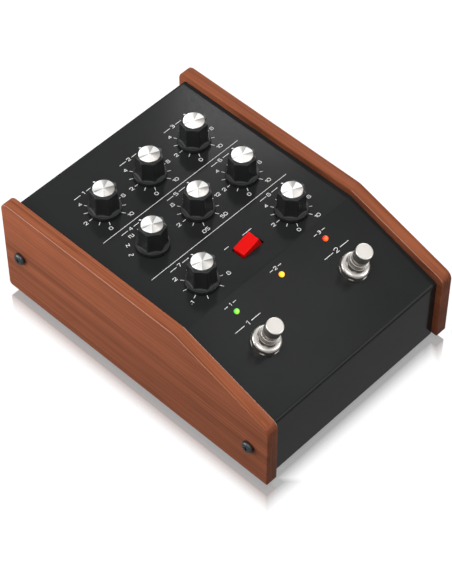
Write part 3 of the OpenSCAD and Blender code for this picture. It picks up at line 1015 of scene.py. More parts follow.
class Wave(Enum):
    """The six wave forms round the selector's dial, in cells one wide and one high."""

    sine = "sine"
    triangle = "triangle"
    square = "square"
    falling = "falling"
    rising = "rising"
    steps = "steps"

    def path(self) -> Array:
        """The wave form's line.

        Returns:
            Points from -0.5 to 0.5 across and up.
        """
        if self is Wave.sine:
            t = np.linspace(0, 1, 33)
            return np.column_stack([t - 0.5, 0.5 * np.sin(2 * np.pi * t)])
        corners = {
            Wave.triangle: [(-0.5, -0.4), (-0.2, 0.45), (0.2, -0.45), (0.5, 0.4)],
            Wave.square: [(-0.5, -0.5), (-0.5, 0.5), (0.0, 0.5), (0.0, -0.5), (0.5, -0.5), (0.5, 0.5)],
            Wave.falling: [(-0.5, -0.5), (-0.5, 0.5), (0.5, -0.5)],
            Wave.rising: [(-0.5, -0.5), (0.5, 0.5), (0.5, -0.5)],
            Wave.steps: [(-0.5, -0.4), (-0.2, -0.4), (-0.2, 0.5), (0.15, 0.5), (0.15, 0), (0.5, 0)],
        }
        return np.array(corners[self])


# Each figure's strokes in a cell one wide and one high; a stroke that ends where it starts is a ring
FIGURES: dict[str, list[list[Pair]]] = {
    "0": [[(0, 0), (1, 0), (1, 1), (0, 1), (0, 0)]],
    "1": [[(0.2, 0.78), (0.62, 1), (0.62, 0)]],
    "2": [[
        (0, 0.72), (0.05, 0.9), (0.22, 1), (0.78, 1), (0.95, 0.9), (1, 0.75), (0.93, 0.56), (0, 0), (1, 0),
    ]],
    "3": [[(0, 1), (1, 1), (1, 0), (0, 0)], [(0.25, 0.52), (0.98, 0.52)]],
    "4": [[(0.78, 0), (0.78, 1), (0, 0.3), (1.05, 0.3)]],
    "5": [[(1, 1), (0, 1), (0, 0.56), (1, 0.56), (1, 0), (0, 0)]],
    "6": [[(0.95, 1), (0, 1), (0, 0), (1, 0), (1, 0.56), (0.05, 0.56)]],
    "7": [[(0, 1), (1, 1), (0.35, 0)]],
    "8": [
        [(0, 0), (1, 0), (1, 0.53), (0, 0.53), (0, 0)],
        [(0.06, 0.5), (0.94, 0.5), (0.94, 1), (0.06, 1), (0.06, 0.5)],
    ],
    ".": [[(0.3, 0.0), (0.3, 0.16)]],
}
# Figures whose corners stay sharp
SHARP_FIGURES = "1247"
# The room that a figure takes up in a row, in widths of a plain figure
PITCHES = {".": 0.35, "1": 0.8}
PLAIN_PITCH = 1.12
# The most of a stroke's shortest part that a rounded corner takes
CORNER_LIMIT = 0.48


@dataclass(frozen=True)
class PanelPrint:
    """White screen print: dial ticks and figures, wave forms, two long rules and index figures.

    Attributes:
        case: the case that it is printed on.
        ink: how far the ink stands proud.
        sunk: how far the ink reaches into the coat beneath it.
        line: the width of the strokes of figures, wave forms and short rules.
        tick_w: the width of a tick.
        rule: the width of the long rules.
        rule_half: half the length of the long rules.
        rule_y: where the long rules run.
        dial_span: how far a dial's first and last ticks stand from straight back, in degrees.
        tick: the inner and outer radius of a tick.
        figure_r: the radius of the figures' middles.
        figure_h: the height of a dial figure.
        figure_step: how much further out each more figure sets a number at the side, in heights.
        stretch: a figure's width over its height.
        corner_share: the radius of a figure's corners, in heights.
        wave_r: the radius of the wave forms' middles.
        wave_span: how far the first and last wave forms stand from straight back, in degrees.
        wave_size: the width and height of a wave form.
        index_gap: how far from its middle an index figure's rules start, in heights.
        knob_index: how far behind a knob its index figure stands, its height and its rules' reach.
        lamp_index: the same for a lamp, along the slope.
        switch_index: the same for a footswitch.
        rocker_rules: the ends of the two rules beside the rocker.
        rocker_rule_y: where they run.
    """

    case: Case
    ink: float = 0.04
    sunk: float = 0.02
    line: float = 0.4
    tick_w: float = 0.36
    rule: float = 0.34
    rule_half: float = 60.2
    rule_y: Pair = (47.1, 4.8)
    dial_span: float = 150.0
    tick: Pair = (11.0, 13.6)
    figure_r: float = 16.2
    figure_h: float = 2.7
    figure_step: float = 0.45
    stretch: float = 0.95
    corner_share: float = 0.3
    wave_r: float = 15.4
    wave_span: float = 75.0
    wave_size: Pair = (3.0, 2.2)
    index_gap: float = 0.9
    knob_index: Triple = (19.4, 2.8, 8.0)
    lamp_index: Triple = (5.6, 2.4, 5.0)
    switch_index: Triple = (15.5, 3.4, 11.0)
    rocker_rules: tuple[Pair, ...] = ((-12.5, -8.5), (4.0, 12.0))
    rocker_rule_y: float = -10.5

    def bar(self, path: Sequence[Sequence[float]] | Array, width: float | None = None) -> Surface:
        """A straight or bent bar of ink along a path."""
        return stroke(np.asarray(path, float), width or self.line, self.ink, self.sunk)

    def figure(self, sign: str, height: float, x: float, y: float) -> list[Surface]:
        """Draws one figure.

        Args:
            sign: the figure or the point.
            height: its height.
            x: its left side.
            y: its foot.

        Returns:
            One bar for each of its strokes.
        """
        size = np.array([self.stretch * height, height]) - self.line
        shift = np.array([x, y]) + self.line / 2
        bars = []
        for points in FIGURES[sign]:
            path = np.array(points) * size + shift
            ring = points[0] == points[-1]
            if ring:
                path = path[:-1]
            if len(path) > 2:
                shortest = np.min(np.linalg.norm(np.diff(path, axis=0), axis=1))
                radius = SHARP_R if sign in SHARP_FIGURES else self.corner_share * height
                radius = min(radius, CORNER_LIMIT * shortest)
                path = rounded(path, np.full(len(path), radius), EDGE_STEPS, ring)
            bars.append(stroke(path, self.line, self.ink, self.sunk, ring))
        return bars

    def figures(self, text: str, height: float, x: float, y: float) -> list[Surface]:
        """Draws figures side by side.

        Args:
            text: the figures.
            height: their height.
            x: the middle of the row, across.
            y: the middle of the row, up.

        Returns:
            The bars of all their strokes.
        """
        widths = np.array([PITCHES.get(sign, PLAIN_PITCH) for sign in text]) * self.stretch * height
        lefts = x - widths.sum() / 2 + np.concatenate([[0], np.cumsum(widths)[:-1]])
        signs = [self.figure(sign, height, left, y - height / 2) for sign, left in zip(text, lefts)]
        return [bar for bars in signs for bar in bars]

    def ticks(self, angles: Array) -> list[Surface]:
        """Draws a dial's ticks.

        Args:
            angles: where they stand, in degrees clockwise from straight back.

        Returns:
            One bar for each tick, round the origin.
        """
        turns = np.radians(angles)
        ways = np.stack([np.sin(turns), np.cos(turns)], axis=-1)
        return [self.bar(np.outer(self.tick, way), self.tick_w) for way in ways]

    def dial(self, angles: Array, marks: Mapping[int, str]) -> list[Surface]:
        """A dial's ticks and figures.

        Args:
            angles: where its ticks stand, in degrees clockwise from straight back.
            marks: the figures, by the number of their tick.

        Returns:
            The dial's bars, round the origin.
        """
        bars = self.ticks(angles)
        for number, text in marks.items():
            turn = np.radians(angles[number])
            further = self.figure_step * self.figure_h * (len(text) - 1)
            reach = self.figure_r + further * abs(np.sin(turn))
            bars += self.figures(text, self.figure_h, reach * np.sin(turn), reach * np.cos(turn))
        return bars

    def waves(self) -> list[Surface]:
        """Draws the six wave forms, spread evenly round the selector's dial.

        Returns:
            One bar for each of them, round the origin.
        """
        turns = np.radians(np.linspace(-self.wave_span, self.wave_span, len(Wave)))
        return [
            self.bar(wave.path() * self.wave_size + self.wave_r * np.array([np.sin(turn), np.cos(turn)]))
            for wave, turn in zip(Wave, turns)
        ]

    def index(self, text: str, height: float, reach: float) -> list[Surface]:
        """Draws an index figure between two short rules.

        Args:
            text: the figure.
            height: its height.
            reach: how far the rules reach to either side.

        Returns:
            The bars, round the origin.
        """
        gap = self.index_gap * height * len(text)
        sides = [self.bar([(side * gap, 0), (side * reach, 0)]) for side in (-1, 1)]
        return self.figures(text, height, 0, 0) + sides

    def level_bars(self) -> list[Surface]:
        """Draws all that is printed on the level panel.

        Returns:
            The bars, in the part's frame.
        """
        tenths = np.linspace(-self.dial_span, self.dial_span, 11)
        eighths = np.linspace(-self.dial_span, self.dial_span, 9)
        plain = {0: "0", 2: "2", 4: "4", 6: "6", 8: "8", 10: "10"}
        rates = {0: ".05", 2: ".2", 4: ".8", 6: "3", 8: "12", 10: "50"}
        times = {1: ".1", 3: ".2", 5: ".4", 7: ".8"}
        left, middle, right = self.case.columns
        rear, centre, front = self.case.rows
        dials = [
            (left, rear, self.dial(tenths, plain)), (middle, rear, self.dial(tenths, plain)),
            (right, rear, self.dial(tenths, plain)), (left, centre, self.waves()),
            (middle, centre, self.dial(tenths, rates)), (right, centre, self.dial(tenths, plain)),
            (left, front, self.dial(eighths, times)), (right, front, self.dial(tenths, plain)),
        ]
        back, height, reach = self.knob_index
        placed = []
        for number, (x, y, bars) in enumerate(dials, start=1):
            placed += self.moved(bars, x, y)
            placed += self.moved(self.index(str(number), height, reach), x, y + back)
        rules = [self.bar([(-self.rule_half, y), (self.rule_half, y)], self.rule) for y in self.rule_y]
        y = self.rocker_rule_y
        rules += [self.bar([(start, y), (end, y)]) for start, end in self.rocker_rules]
        return placed + self.moved(rules, 0, 0)

    def moved(self, bars: Sequence[Surface], x: float, y: float) -> list[Surface]:
        """Bars set down on the level panel."""
        return [replace(bar, points=self.case.on_panel(bar.points, x, y)) for bar in bars]

    def slope_bars(self) -> list[Surface]:
        """Draws all that is printed on the slope: an index figure behind each lamp and footswitch.

        Returns:
            The bars, in the part's frame.
        """
        case = self.case
        marks = [
            (case.columns, case.lamp_drop, self.lamp_index),
            (case.columns[::2], case.footswitch_drop, self.switch_index),
        ]
        placed = []
        for columns, drop, (back, height, reach) in marks:
            for number, x in enumerate(columns, start=1):
                bars = self.index(str(number), height, reach)
                placed += [replace(bar, points=case.on_slope(bar.points, x, drop - back)) for bar in bars]
        return placed

    def build(self) -> None:
        """Makes the print on each face as one piece."""
        for name, bars in (("panel_print", self.level_bars()), ("slope_print", self.slope_bars())):
            fit(make_piece(name, bars, SCREEN_INK), "case", Slot.powder_coated_steel.name)


# The pieces that are modelled anew


@dataclass(frozen=True)
class Cheeks:
    """The two wooden boards at the sides, with softly rounded edges.

    Attributes:
        bend_y: where the top edge starts to fall.
        front_h: the height of the top edge at the front end.
        radii: the radius at each corner, from the lower front round to the upper front.
        edge_r: the radius of the long edges.
        outer_line: how deep the painted highlight on an outer edge starts and ends, in edge radii.
        inner_line: the same for the left board's inner edge; inner edges carry it only where they fall.
        fade: the length over which an outer edge's painted highlight fades once its edge falls.
    """

    bend_y: float
    front_h: float = 60.5
    radii: tuple[float, ...] = (0.8, 3.0, 6.0, 14.0, 6.5)
    edge_r: float = 0.8
    outer_line: Pair = (0.2, 0.55)
    inner_line: Pair = (0.13, 0.98)
    fade: float = 60.0

    def board(self, node: str) -> Surface:
        """A board in the box of its solid.

        Args:
            node: the solid's name.

        Returns:
            The board's surface.
        """
        low, high = (np.array(corner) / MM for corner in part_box(node))
        outline = np.array([
            (low[1], low[2]), (high[1], low[2]), (high[1], high[2]), (self.bend_y, high[2]),
            (low[1], self.front_h),
        ])
        rings = rounded_slab(outline, np.array(self.radii), low[0], high[0], self.edge_r)
        return Surface(rings[..., [2, 0, 1]], capped=True)

    def mark_edges(self, piece: bpy.types.Object, board: Surface) -> None:
        """Marks the points of the rounded edges that carry a painted highlight.

        Args:
            piece: the board's piece.
            board: the surface that it was made from, whose rows run across the board.
        """
        across, along, _ = points_of(piece).T
        low, high = board.points[..., 0].min(), board.points[..., 0].max()
        from_low, from_high = (across - low) / self.edge_r, (high - across) / self.edge_r
        on_left = low < 0
        outer, inner = (from_low, from_high) if on_left else (from_high, from_low)
        # The painted highlight runs along the outer edge, fading once the edge falls, and along the falling part
        # of the inner edge, in a wider band on the left board.
        fading_highlight = np.clip(1 - (self.bend_y - along) / self.fade, 0, 1)
        highlit = fading_highlight * ((outer > self.outer_line[0]) & (outer < self.outer_line[1]))
        start, end = self.inner_line if on_left else self.outer_line
        highlit += (along < self.bend_y) & (inner > start) & (inner < end)
        mark(piece, Slot.mahogany.value.edge, highlit)

    def build(self) -> None:
        """Makes both boards."""
        for side in ("left", "right"):
            node = f"{side}_cheek"
            board = self.board(node)
            piece = make_piece(f"{side}_board", [board], Slot.mahogany.value)
            self.mark_edges(piece, board)
            fit(piece, "case", Slot.mahogany.name, node)


@dataclass(frozen=True)
class Knob:
    """A fluted knob: polished moulding, spun cap let into its top, and a filled pointer line.

    Attributes:
        name: the control that it turns.
        turn: how far it is turned to the left at rest, in degrees.
        flutes: the number of flutes.
        skirt_r: the radius of the skirt.
        ridge_r: the mean radius of the ridges between the flutes.
        taper: how far the body's foot and top differ from that.
        flute_floor: the distance of a flute's floor from the axis.
        flute_r: the radius of the cutter that leaves a flute.
        blend: the width over which flute and ridge run together.
        foot: the height of the skirt's underside.
        foot_edge: the size of the bevel round it.
        skirt_top: the height at which the skirt turns in.
        skirt_edge: the radius of the skirt's upper edge.
        flare: the height of the flare from skirt to body.
        flare_steps: the number of steps in the flare.
        body_rows: where the body has rows of its own, as shares of the way from flare to top.
        rim: the height of the moulding's top.
        fall: how far the top falls from the cap to its edge.
        bevel: the width of the top edge's rounding.
        recess: the radius and height of the hollow underneath.
        cap_r: the radius of the cap.
        cap_gap: the gap between the cap and the side of its seat.
        cap: the heights of the cap's seat and of its top.
        cap_lift: how far the cap stands clear of its seat's floor.
        cap_edge: the size of the bevel round the cap.
        dish: how far the cap's face sinks towards its middle.
        pointer_w: the width of the pointer line.
        pointer_foot: how far above the skirt it has to start.
        pointer_reach: how far it runs in over the top.
        film: the height of its paint.
        steps_per_flute: the number of steps round one flute.
    """

    name: str
    turn: float = 0.0
    flutes: int = 7
    skirt_r: float = 11.0
    ridge_r: float = 9.45
    taper: Pair = (0.2, -0.15)
    flute_floor: float = 8.4
    flute_r: float = 24.0
    blend: float = 0.4
    foot: float = 0.6
    foot_edge: float = 0.3
    skirt_top: float = 3.0
    skirt_edge: float = 0.5
    flare: float = 1.3
    flare_steps: int = 8
    body_rows: Pair = (0.15, 0.85)
    rim: float = 19.6
    fall: float = 0.65
    bevel: float = 0.6
    recess: Pair = (7.0, 6.5)
    cap_r: float = 7.0
    cap_gap: float = 0.06
    cap: Pair = (19.0, 20.0)
    cap_lift: float = 0.02
    cap_edge: float = 0.22
    dish: float = 0.12
    pointer_w: float = 1.1
    pointer_foot: float = 2.0
    pointer_reach: float = 1.2
    film: float = 0.05
    steps_per_flute: int = 28

    def outline(self, angle: Array) -> Array:
        """The fluted body's radius, by the angle from a ridge.

        A flute is cut by a cylinder of radius R whose axis lies D = floor + R out: at the angle a from
        the flute's middle its floor is at D cos a - sqrt(R^2 - D^2 sin^2 a). It runs into the ridge's
        radius by a smooth minimum.

        Args:
            angle: the angles, in radians.

        Returns:
            The radius at each angle.
        """
        pitch = 2 * np.pi / self.flutes
        a = angle % pitch - pitch / 2
        axis = self.flute_floor + self.flute_r
        root = np.sqrt(np.maximum(self.flute_r ** 2 - (axis * np.sin(a)) ** 2, 0))
        flute = axis * np.cos(a) - root
        share = np.clip(0.5 + 0.5 * (self.ridge_r - flute) / self.blend, 0, 1)
        return self.ridge_r + (flute - self.ridge_r) * share - self.blend * share * (1 - share)

    def rows(self) -> Array:
        """The moulding's rows: plain radius, share of the fluted radius, trim of that, and height.

        Returns:
            One row for each ring of points, from the hollow underneath to the cap's seat.
        """
        s = np.linspace(0, np.pi / 2, self.flare_steps + 1)[1:]
        hollow_r, hollow_top = self.recess
        shoulder = self.skirt_top + self.skirt_edge
        seat_r, seat_z = self.cap_r + self.cap_gap, self.cap[0]
        foot_trim, top_trim = (-part for part in self.taper)
        edge_z = self.rim - self.fall
        under = [
            (0, 0, 0, hollow_top), (hollow_r, 0, 0, hollow_top), (hollow_r, 0, 0, self.foot),
            (self.skirt_r - self.foot_edge, 0, 0, self.foot),
            (self.skirt_r, 0, 0, self.foot + self.foot_edge),
        ]
        skirt_r, skirt_z = quarter_round(self.skirt_r, shoulder, self.skirt_edge).T
        edge = np.column_stack([skirt_r, 0 * skirt_r, 0 * skirt_r, skirt_z])
        flare = np.column_stack([
            np.full(len(s), skirt_r[-1]), np.sin(s), 0 * s + foot_trim,
            shoulder + self.flare * (1 - np.cos(s)),
        ])
        rise = np.array(self.body_rows)
        body = np.column_stack([
            0 * rise, 0 * rise + 1, (1 - rise) * foot_trim + rise * top_trim,
            (1 - rise) * (shoulder + self.flare) + rise * edge_z,
        ])
        turned, bevel_z = quarter_round(-top_trim, edge_z, self.bevel).T
        bevel = np.column_stack([0 * turned, 0 * turned + 1, -turned, bevel_z])
        seat = [(seat_r, 0, 0, self.rim), (seat_r, 0, 0, seat_z), (0, 0, 0, seat_z)]
        return np.concatenate([under, edge, flare, body, bevel, seat])

    def shell(self, rows: Array, angle: Array) -> Array:
        """The moulding's surface over rows and angles: r = (1 - w) plain + w (fluted - trim).

        Args:
            rows: rows as the method of that name gives them.
            angle: angles from the pointer's ridge, in radians.

        Returns:
            The grid of points, round the knob's axis.
        """
        plain, share, trim, z = (column[:, None] for column in rows.T)
        r = (1 - share) * plain + share * (self.outline(angle)[None] - trim)
        return round_axis(r, angle + np.radians(90 + self.turn), z)

    def moulding(self) -> Surface:
        """The whole moulding, closed at its hollow and at its seat."""
        angle = np.linspace(0, 2 * np.pi, self.flutes * self.steps_per_flute, endpoint=False)
        return Surface(self.shell(self.rows(), angle))

    def pointer(self) -> Surface:
        """The pointer line: a strip of the moulding's own surface, raised by a paint film's height.

        Each row is a closed loop, out along the raised side and back along the sunk one.

        Returns:
            The closed strip.
        """
        half = self.pointer_w / 2 / self.ridge_r
        angle = np.linspace(-half, half, POINTER_STEPS + 1)
        rows = self.rows()
        fluted = rows[(rows[:, 1] == 1) & (rows[:, 3] > self.skirt_top + self.pointer_foot)]
        reach = self.pointer_reach
        run = self.outline(np.zeros(1))[0] - fluted[-1][2] - self.cap_r
        lip = fluted[-1] + np.array([0, 0, reach, self.fall * reach / run])
        strip = np.vstack([fluted, lip])
        outer, inner = strip.copy(), strip.copy()
        for side, film in ((outer, self.film), (inner, -self.film)):
            side[:, 2] -= film
            side[-2:, 3] += film
        loop = np.concatenate([self.shell(outer, angle), self.shell(inner, angle)[:, ::-1]], axis=1)
        return Surface(loop, capped=True)

    def disc(self) -> Surface:
        """The spun cap: a disc with a small bevel and a face that sinks slightly towards its middle.

        At the share s of the way out, the face lies dish (1 - s^2) below its edge.

        Returns:
            The disc, round the knob's axis.
        """
        low, high = self.cap
        reach = np.linspace(1, 0, 12) * (self.cap_r - self.cap_edge)
        face = np.column_stack([reach, high - self.dish * (1 - (reach / reach[0]) ** 2)])
        foot = low + self.cap_lift
        side = np.array([(0, foot), (self.cap_r, foot), (self.cap_r, high - self.cap_edge)])
        return Surface(lathe(np.concatenate([side, face])))

    def build(self, case: Case) -> None:
        """Makes the knob's three pieces where its cap is.

        Args:
            case: the case that it stands on.
        """
        low, high = (np.array(corner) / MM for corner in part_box(f"knob_cap_{self.name}"))
        x, y = ((low + high) / 2)[:2]
        body = f"{self.name}_control"
        pieces = [
            ("moulding", self.moulding(), Slot.gloss_black_plastic, [f"knob_{self.name}"]),
            ("cap", self.disc(), Slot.spun_aluminium, [f"knob_cap_{self.name}"]),
        ]
        for kind, surface, slot, nodes in pieces:
            surface.points = case.on_panel(surface.points, x, y)
            uv_map = slot.value.uv_map if kind == "cap" else None
            piece = make_piece(f"{self.name}_{kind}", [surface], slot.value, uv_map=uv_map)
            fit(piece, body, slot.name, *nodes)
        line = self.pointer()
        line.points = case.on_panel(line.points, x, y)
        fit(make_piece(f"{self.name}_pointer", [line], POINTER_INK), body, Slot.gloss_black_plastic.name)


@dataclass(frozen=True)
class Rocker:
    """The rocker switch's red paddle, wider at its foot, with rounded edges.

    Attributes:
        pivot: the place of its pivot, behind the middle and above the panel.
        lean: how far it leans to the left at rest, in degrees.
        foot: half its length and half its width at the foot.
        top: the same at the top.
        heights: the heights of its underside, its foot and its top above the pivot.
        dip: how far the top's left end is lower than its right one.
        edge_r: the radius of the edges round the top.
        face_ring: how far in the ring lies that keeps the top flat in shading, in edge radii.
        corner_r: the radius of the upright corners.
    """

    pivot: Pair = (-19.0, -2.8)
    lean: float = 13.6
    foot: Pair = (8.4, 4.5)
    top: Pair = (7.0, 4.5)
    heights: Triple = (-2.5, 0.4, 7.65)
    dip: float = 1.1
    edge_r: float = 0.35
    face_ring: float = 1.7
    corner_r: float = 0.45

    def paddle(self) -> Array:
        """Stacks rounded rectangles from foot to top; the last ones turn in by a quarter round.

        Returns:
            Rings of points round the pivot, upright.
        """
        under, foot_z, top_z = self.heights
        out, up = quarter_round(0, top_z, self.edge_r).T
        z = np.concatenate([[under, foot_z], up, [top_z]])
        trim = np.concatenate([[0, 0], -out, [self.face_ring * self.edge_r]])
        share = np.clip((z - foot_z) / (top_z - foot_z), 0, 1)[:, None]
        halves = np.array(self.foot) * (1 - share) + np.array(self.top) * share - trim[:, None]
        signs = np.array([(-1, -1), (1, -1), (1, 1), (-1, 1)])
        radii = np.full(4, self.corner_r)
        points = stacked([rounded(signs * half, radii, EDGE_STEPS) for half in halves], z)
        points[..., 2] -= self.dip * share * np.clip(0.5 - 0.5 * points[..., 0] / self.top[0], 0, 1)
        return points

    def build(self, case: Case) -> None:
        """Makes the paddle at its resting lean: a turn about Y, then a move to the pivot.

        Args:
            case: the case that it stands in.
        """
        points = self.paddle()
        a = np.radians(self.lean)
        x, y, z = points[..., 0], points[..., 1], points[..., 2]
        leaning = np.stack([
            x * np.cos(a) - z * np.sin(a), y, x * np.sin(a) + z * np.cos(a) + self.pivot[1]
        ], axis=-1)
        surface = Surface(case.on_panel(leaning, 0, self.pivot[0]), capped=True)
        piece = make_piece("rocker_paddle", [surface], Slot.red_plastic.value)
        fit(piece, "rocker_switch", Slot.red_plastic.name, "rocker")


@dataclass(frozen=True)
class Lamp:
    """A round lamp: a straight body with a flange under the panel and a half-round dome above it.

    Attributes:
        node: the solid that it replaces.
        slot: its finish.
        x: its place across the slope.
        r: the dome's radius.
        dome: the height at which the dome starts.
        foot: the height of its underside.
        flange: the flange's radius and the heights of its two faces.
        heart: where the glow's heart is, across and up the slope from the axis.
        deepening: the power by which the colour deepens away from the heart.
    """

    node: str
    slot: Slot
    x: float
    r: float = 1.8
    dome: float = 0.2
    foot: float = -6.5
    flange: Triple = (2.25, -2.5, -1.5)
    heart: Pair = (-0.35, -0.6)
    deepening: float = 1.2

    def profile(self) -> Array:
        """Draws the lamp's profile, with a quarter circle for its dome.

        Returns:
            Radius and height, from the middle of its foot to the top of its dome.
        """
        flange_r, low, high = self.flange
        stem = [
            (0, self.foot), (self.r, self.foot), (self.r, low), (flange_r, low), (flange_r, high),
            (self.r, high),
        ]
        return np.concatenate([stem, quarter_round(self.r, self.dome + self.r, self.r, DOME_STEPS)])

    def build(self, case: Case) -> None:
        """Makes the lamp and marks how far each point is from the glow's heart.

        Args:
            case: the case that it stands in.
        """
        points = case.on_slope(lathe(self.profile(), LAMP_COLUMNS), self.x, case.lamp_drop)
        piece = make_piece(self.node.replace("led", "lamp"), [Surface(points)], self.slot.value)
        axis_foot, axis_top = (
            case.on_slope(np.array([*self.heart, z]), self.x, case.lamp_drop) for z in (0.0, 1.0)
        )
        from_axis = np.cross(points_of(piece) - axis_foot, axis_top - axis_foot)
        share = np.clip(np.linalg.norm(from_axis, axis=1) / self.r, 0, 1) ** self.deepening
        mark(piece, self.slot.value.attribute, share)
        fit(piece, "case", self.slot.name, self.node)


@dataclass(frozen=True)
class Footswitch:
    """A footswitch's satin button, its threaded bushing, its nut and its return spring.

    Attributes:
        side: left or right.
        x: its place across the slope.
        button: the button's radius, the height of its underside and of its top.
        button_edge: the radius of the button's upper edge.
        bevel: the size of the bevels round the feet of button and nut.
        crown: how far the button's top bulges.
        plunger: the plunger's radius and the height of its foot.
        plunger_foot: the radius and thickness of the plunger's foot.
        nut_foot: the height of the nut's underside.
        wide: the distance of the wide hexagon's flats from the axis, and the radius that its corners are
            turned to.
        dome: the radius of the wide hexagon's rounded edge, and its top.
        narrow: the distance of the narrow hexagon's flats from the axis, and its top.
        chamfer: how far down the narrow hexagon's corners are turned off.
        chamfer_in: how far inside its flats the chamfer ends.
        bore: the radius of the nut's bore.
        bore_edge: the size of the bevel at the bore's top.
        lip: the radius, foot and top of the bushing's lip.
        lip_edge: the radius of the lip's edge.
        lip_sink: the depth of the face inside the lip.
        plunger_gap: the gap between the lip and the plunger.
        skin_gap: how far the bushing's skin stays inside the bore and above the nut.
        groove: the radius of the groove under the lip.
        thread: the thread's outer radius and its pitch.
        coil: the return spring's radius, the radius of its wire and the number of its turns.
        coil_span: the heights of the spring's two ends.
        travel: how far the button goes down; not used.
    """

    side: str
    x: float
    button: Triple = (5.7, 15.8, 23.5)
    button_edge: float = 0.8
    bevel: float = 0.3
    crown: float = 0.1
    plunger: Pair = (4.0, -9.0)
    plunger_foot: Pair = (5.4, 1.5)
    nut_foot: float = 0.8
    wide: Pair = (9.5, 9.76)
    dome: Pair = (2.7, 5.6)
    narrow: Pair = (6.9, 9.6)
    chamfer: float = 0.8
    chamfer_in: float = 0.1
    bore: float = 6.05
    bore_edge: float = 0.2
    lip: Triple = (6.3, 12.0, 13.1)
    lip_edge: float = 0.35
    lip_sink: float = 0.07
    plunger_gap: float = 0.3
    skin_gap: Pair = (0.03, 0.05)
    groove: float = 6.06
    thread: Pair = (6.2, 0.75)
    coil: tuple[float, float, int] = (4.5, 0.45, 6)
    coil_span: Pair = (-21.2, -9.3)
    travel: float = 2.5

    def hexagon(self, flat: float, angle: Array) -> Array:
        """A hexagon's radius by angle, with corners on X: flat / cos(a), a from the nearest flat."""
        third = np.pi / 3
        return flat / np.cos(angle % third - third / 2)

    def nut(self) -> Array:
        """The nut: a wide hexagon with a domed edge and a narrow one on top of it.

        Row by row the radius is the hexagon's, or that of the turned profile where it is less.

        Returns:
            The grid of points, from the bore's foot over the outside and back down the bore.
        """
        angle = np.linspace(0, 2 * np.pi, NUT_COLUMNS, endpoint=False)
        flat, turned_r = self.wide
        round_r, dome_top = self.dome
        narrow_flat, top = self.narrow
        inner_r, top_r = turned_r - round_r, narrow_flat - self.chamfer_in
        low = self.nut_foot
        wide_rows = np.concatenate([
            [(turned_r - self.bevel, low), (turned_r, low + self.bevel)],
            quarter_round(turned_r, dome_top, round_r, DOME_STEPS),
        ])
        down = np.linspace(self.chamfer, 0, EDGE_STEPS + 1)
        narrow_rows = np.concatenate([
            [(inner_r, dome_top)],
            np.column_stack([top_r + (inner_r - top_r) * down / self.chamfer, top - down]),
        ])
        bore_rows = np.array([
            (self.bore + self.bore_edge, top), (self.bore, top - self.bore_edge), (self.bore, low),
        ])
        radius = np.concatenate([
            np.minimum(self.hexagon(flat, angle)[None], wide_rows[:, :1]),
            np.minimum(self.hexagon(narrow_flat, angle)[None], narrow_rows[:, :1]),
            np.repeat(bore_rows[:, :1], len(angle), axis=1),
        ])
        z = np.concatenate([wide_rows[:, 1], narrow_rows[:, 1], bore_rows[:, 1]])[:, None]
        return round_axis(radius, angle, z)

    def sleeve(self) -> Array:
        """The bushing's skin above the nut: thread, groove and a lip round the plunger.

        Returns:
            The grid of points, whose last row joins the first.
        """
        lip_r, lip_foot, lip_top = self.lip
        crest, pitch = self.thread
        inside, above = self.skin_gap
        inner, low = self.bore - inside, self.narrow[1] + above
        hole_r, floor_z = self.plunger[0] + self.plunger_gap, lip_top - self.lip_sink
        turns = np.arange(low, lip_foot - 2 * pitch, pitch / 2)
        thread = np.column_stack([np.where(np.arange(len(turns)) % 2, crest, self.groove), turns])
        profile = np.concatenate([
            [(inner, low)], thread,
            [(self.groove, turns[-1] + pitch / 2), (self.groove, lip_foot), (lip_r, lip_foot)],
            quarter_round(lip_r, lip_top, self.lip_edge),
            [(hole_r, lip_top), (hole_r, floor_z), (inner, floor_z)],
        ])
        return lathe(profile)

    def return_spring(self) -> Array:
        """The return spring: the wire's circle, carried round a helix.

        At the angle b round the wire, its skin lies R + r cos b from the axis, at the height h + r sin b.

        Returns:
            The grid of points, from the lower end to the upper one.
        """
        coil_r, wire_r, turns = self.coil
        low, high = self.coil_span
        a = np.linspace(0, 2 * np.pi * turns, TURN_STEPS * turns + 1)[:, None]
        b = np.linspace(0, 2 * np.pi, WIRE_COLUMNS, endpoint=False)[None]
        r = coil_r + wire_r * np.cos(b)
        height = np.linspace(low + wire_r, high - wire_r, len(a))[:, None]
        return round_axis(r, a, height + wire_r * np.sin(b))

    def plunger_profile(self) -> Array:
        """Draws the profile of plunger and button.

        At the share s of the way out, the button's top lies crown s^2 below its middle.

        Returns:
            Radius and height, from the middle of the plunger's foot to the middle of the button's top.
        """
        r, base, top = self.button
        stem_r, foot = self.plunger
        foot_r, foot_t = self.plunger_foot
        stem = [
            (0, foot), (foot_r, foot), (foot_r, foot + foot_t), (stem_r, foot + foot_t), (stem_r, base),
            (r - self.bevel, base), (r, base + self.bevel),
        ]
        edge = quarter_round(r, top - self.crown, self.button_edge, steps=6)
        reach = np.linspace(1, 0, 8)[1:]
        crown = np.column_stack([reach * (r - self.button_edge), top - self.crown * reach ** 2])
        return np.concatenate([stem, edge, crown])

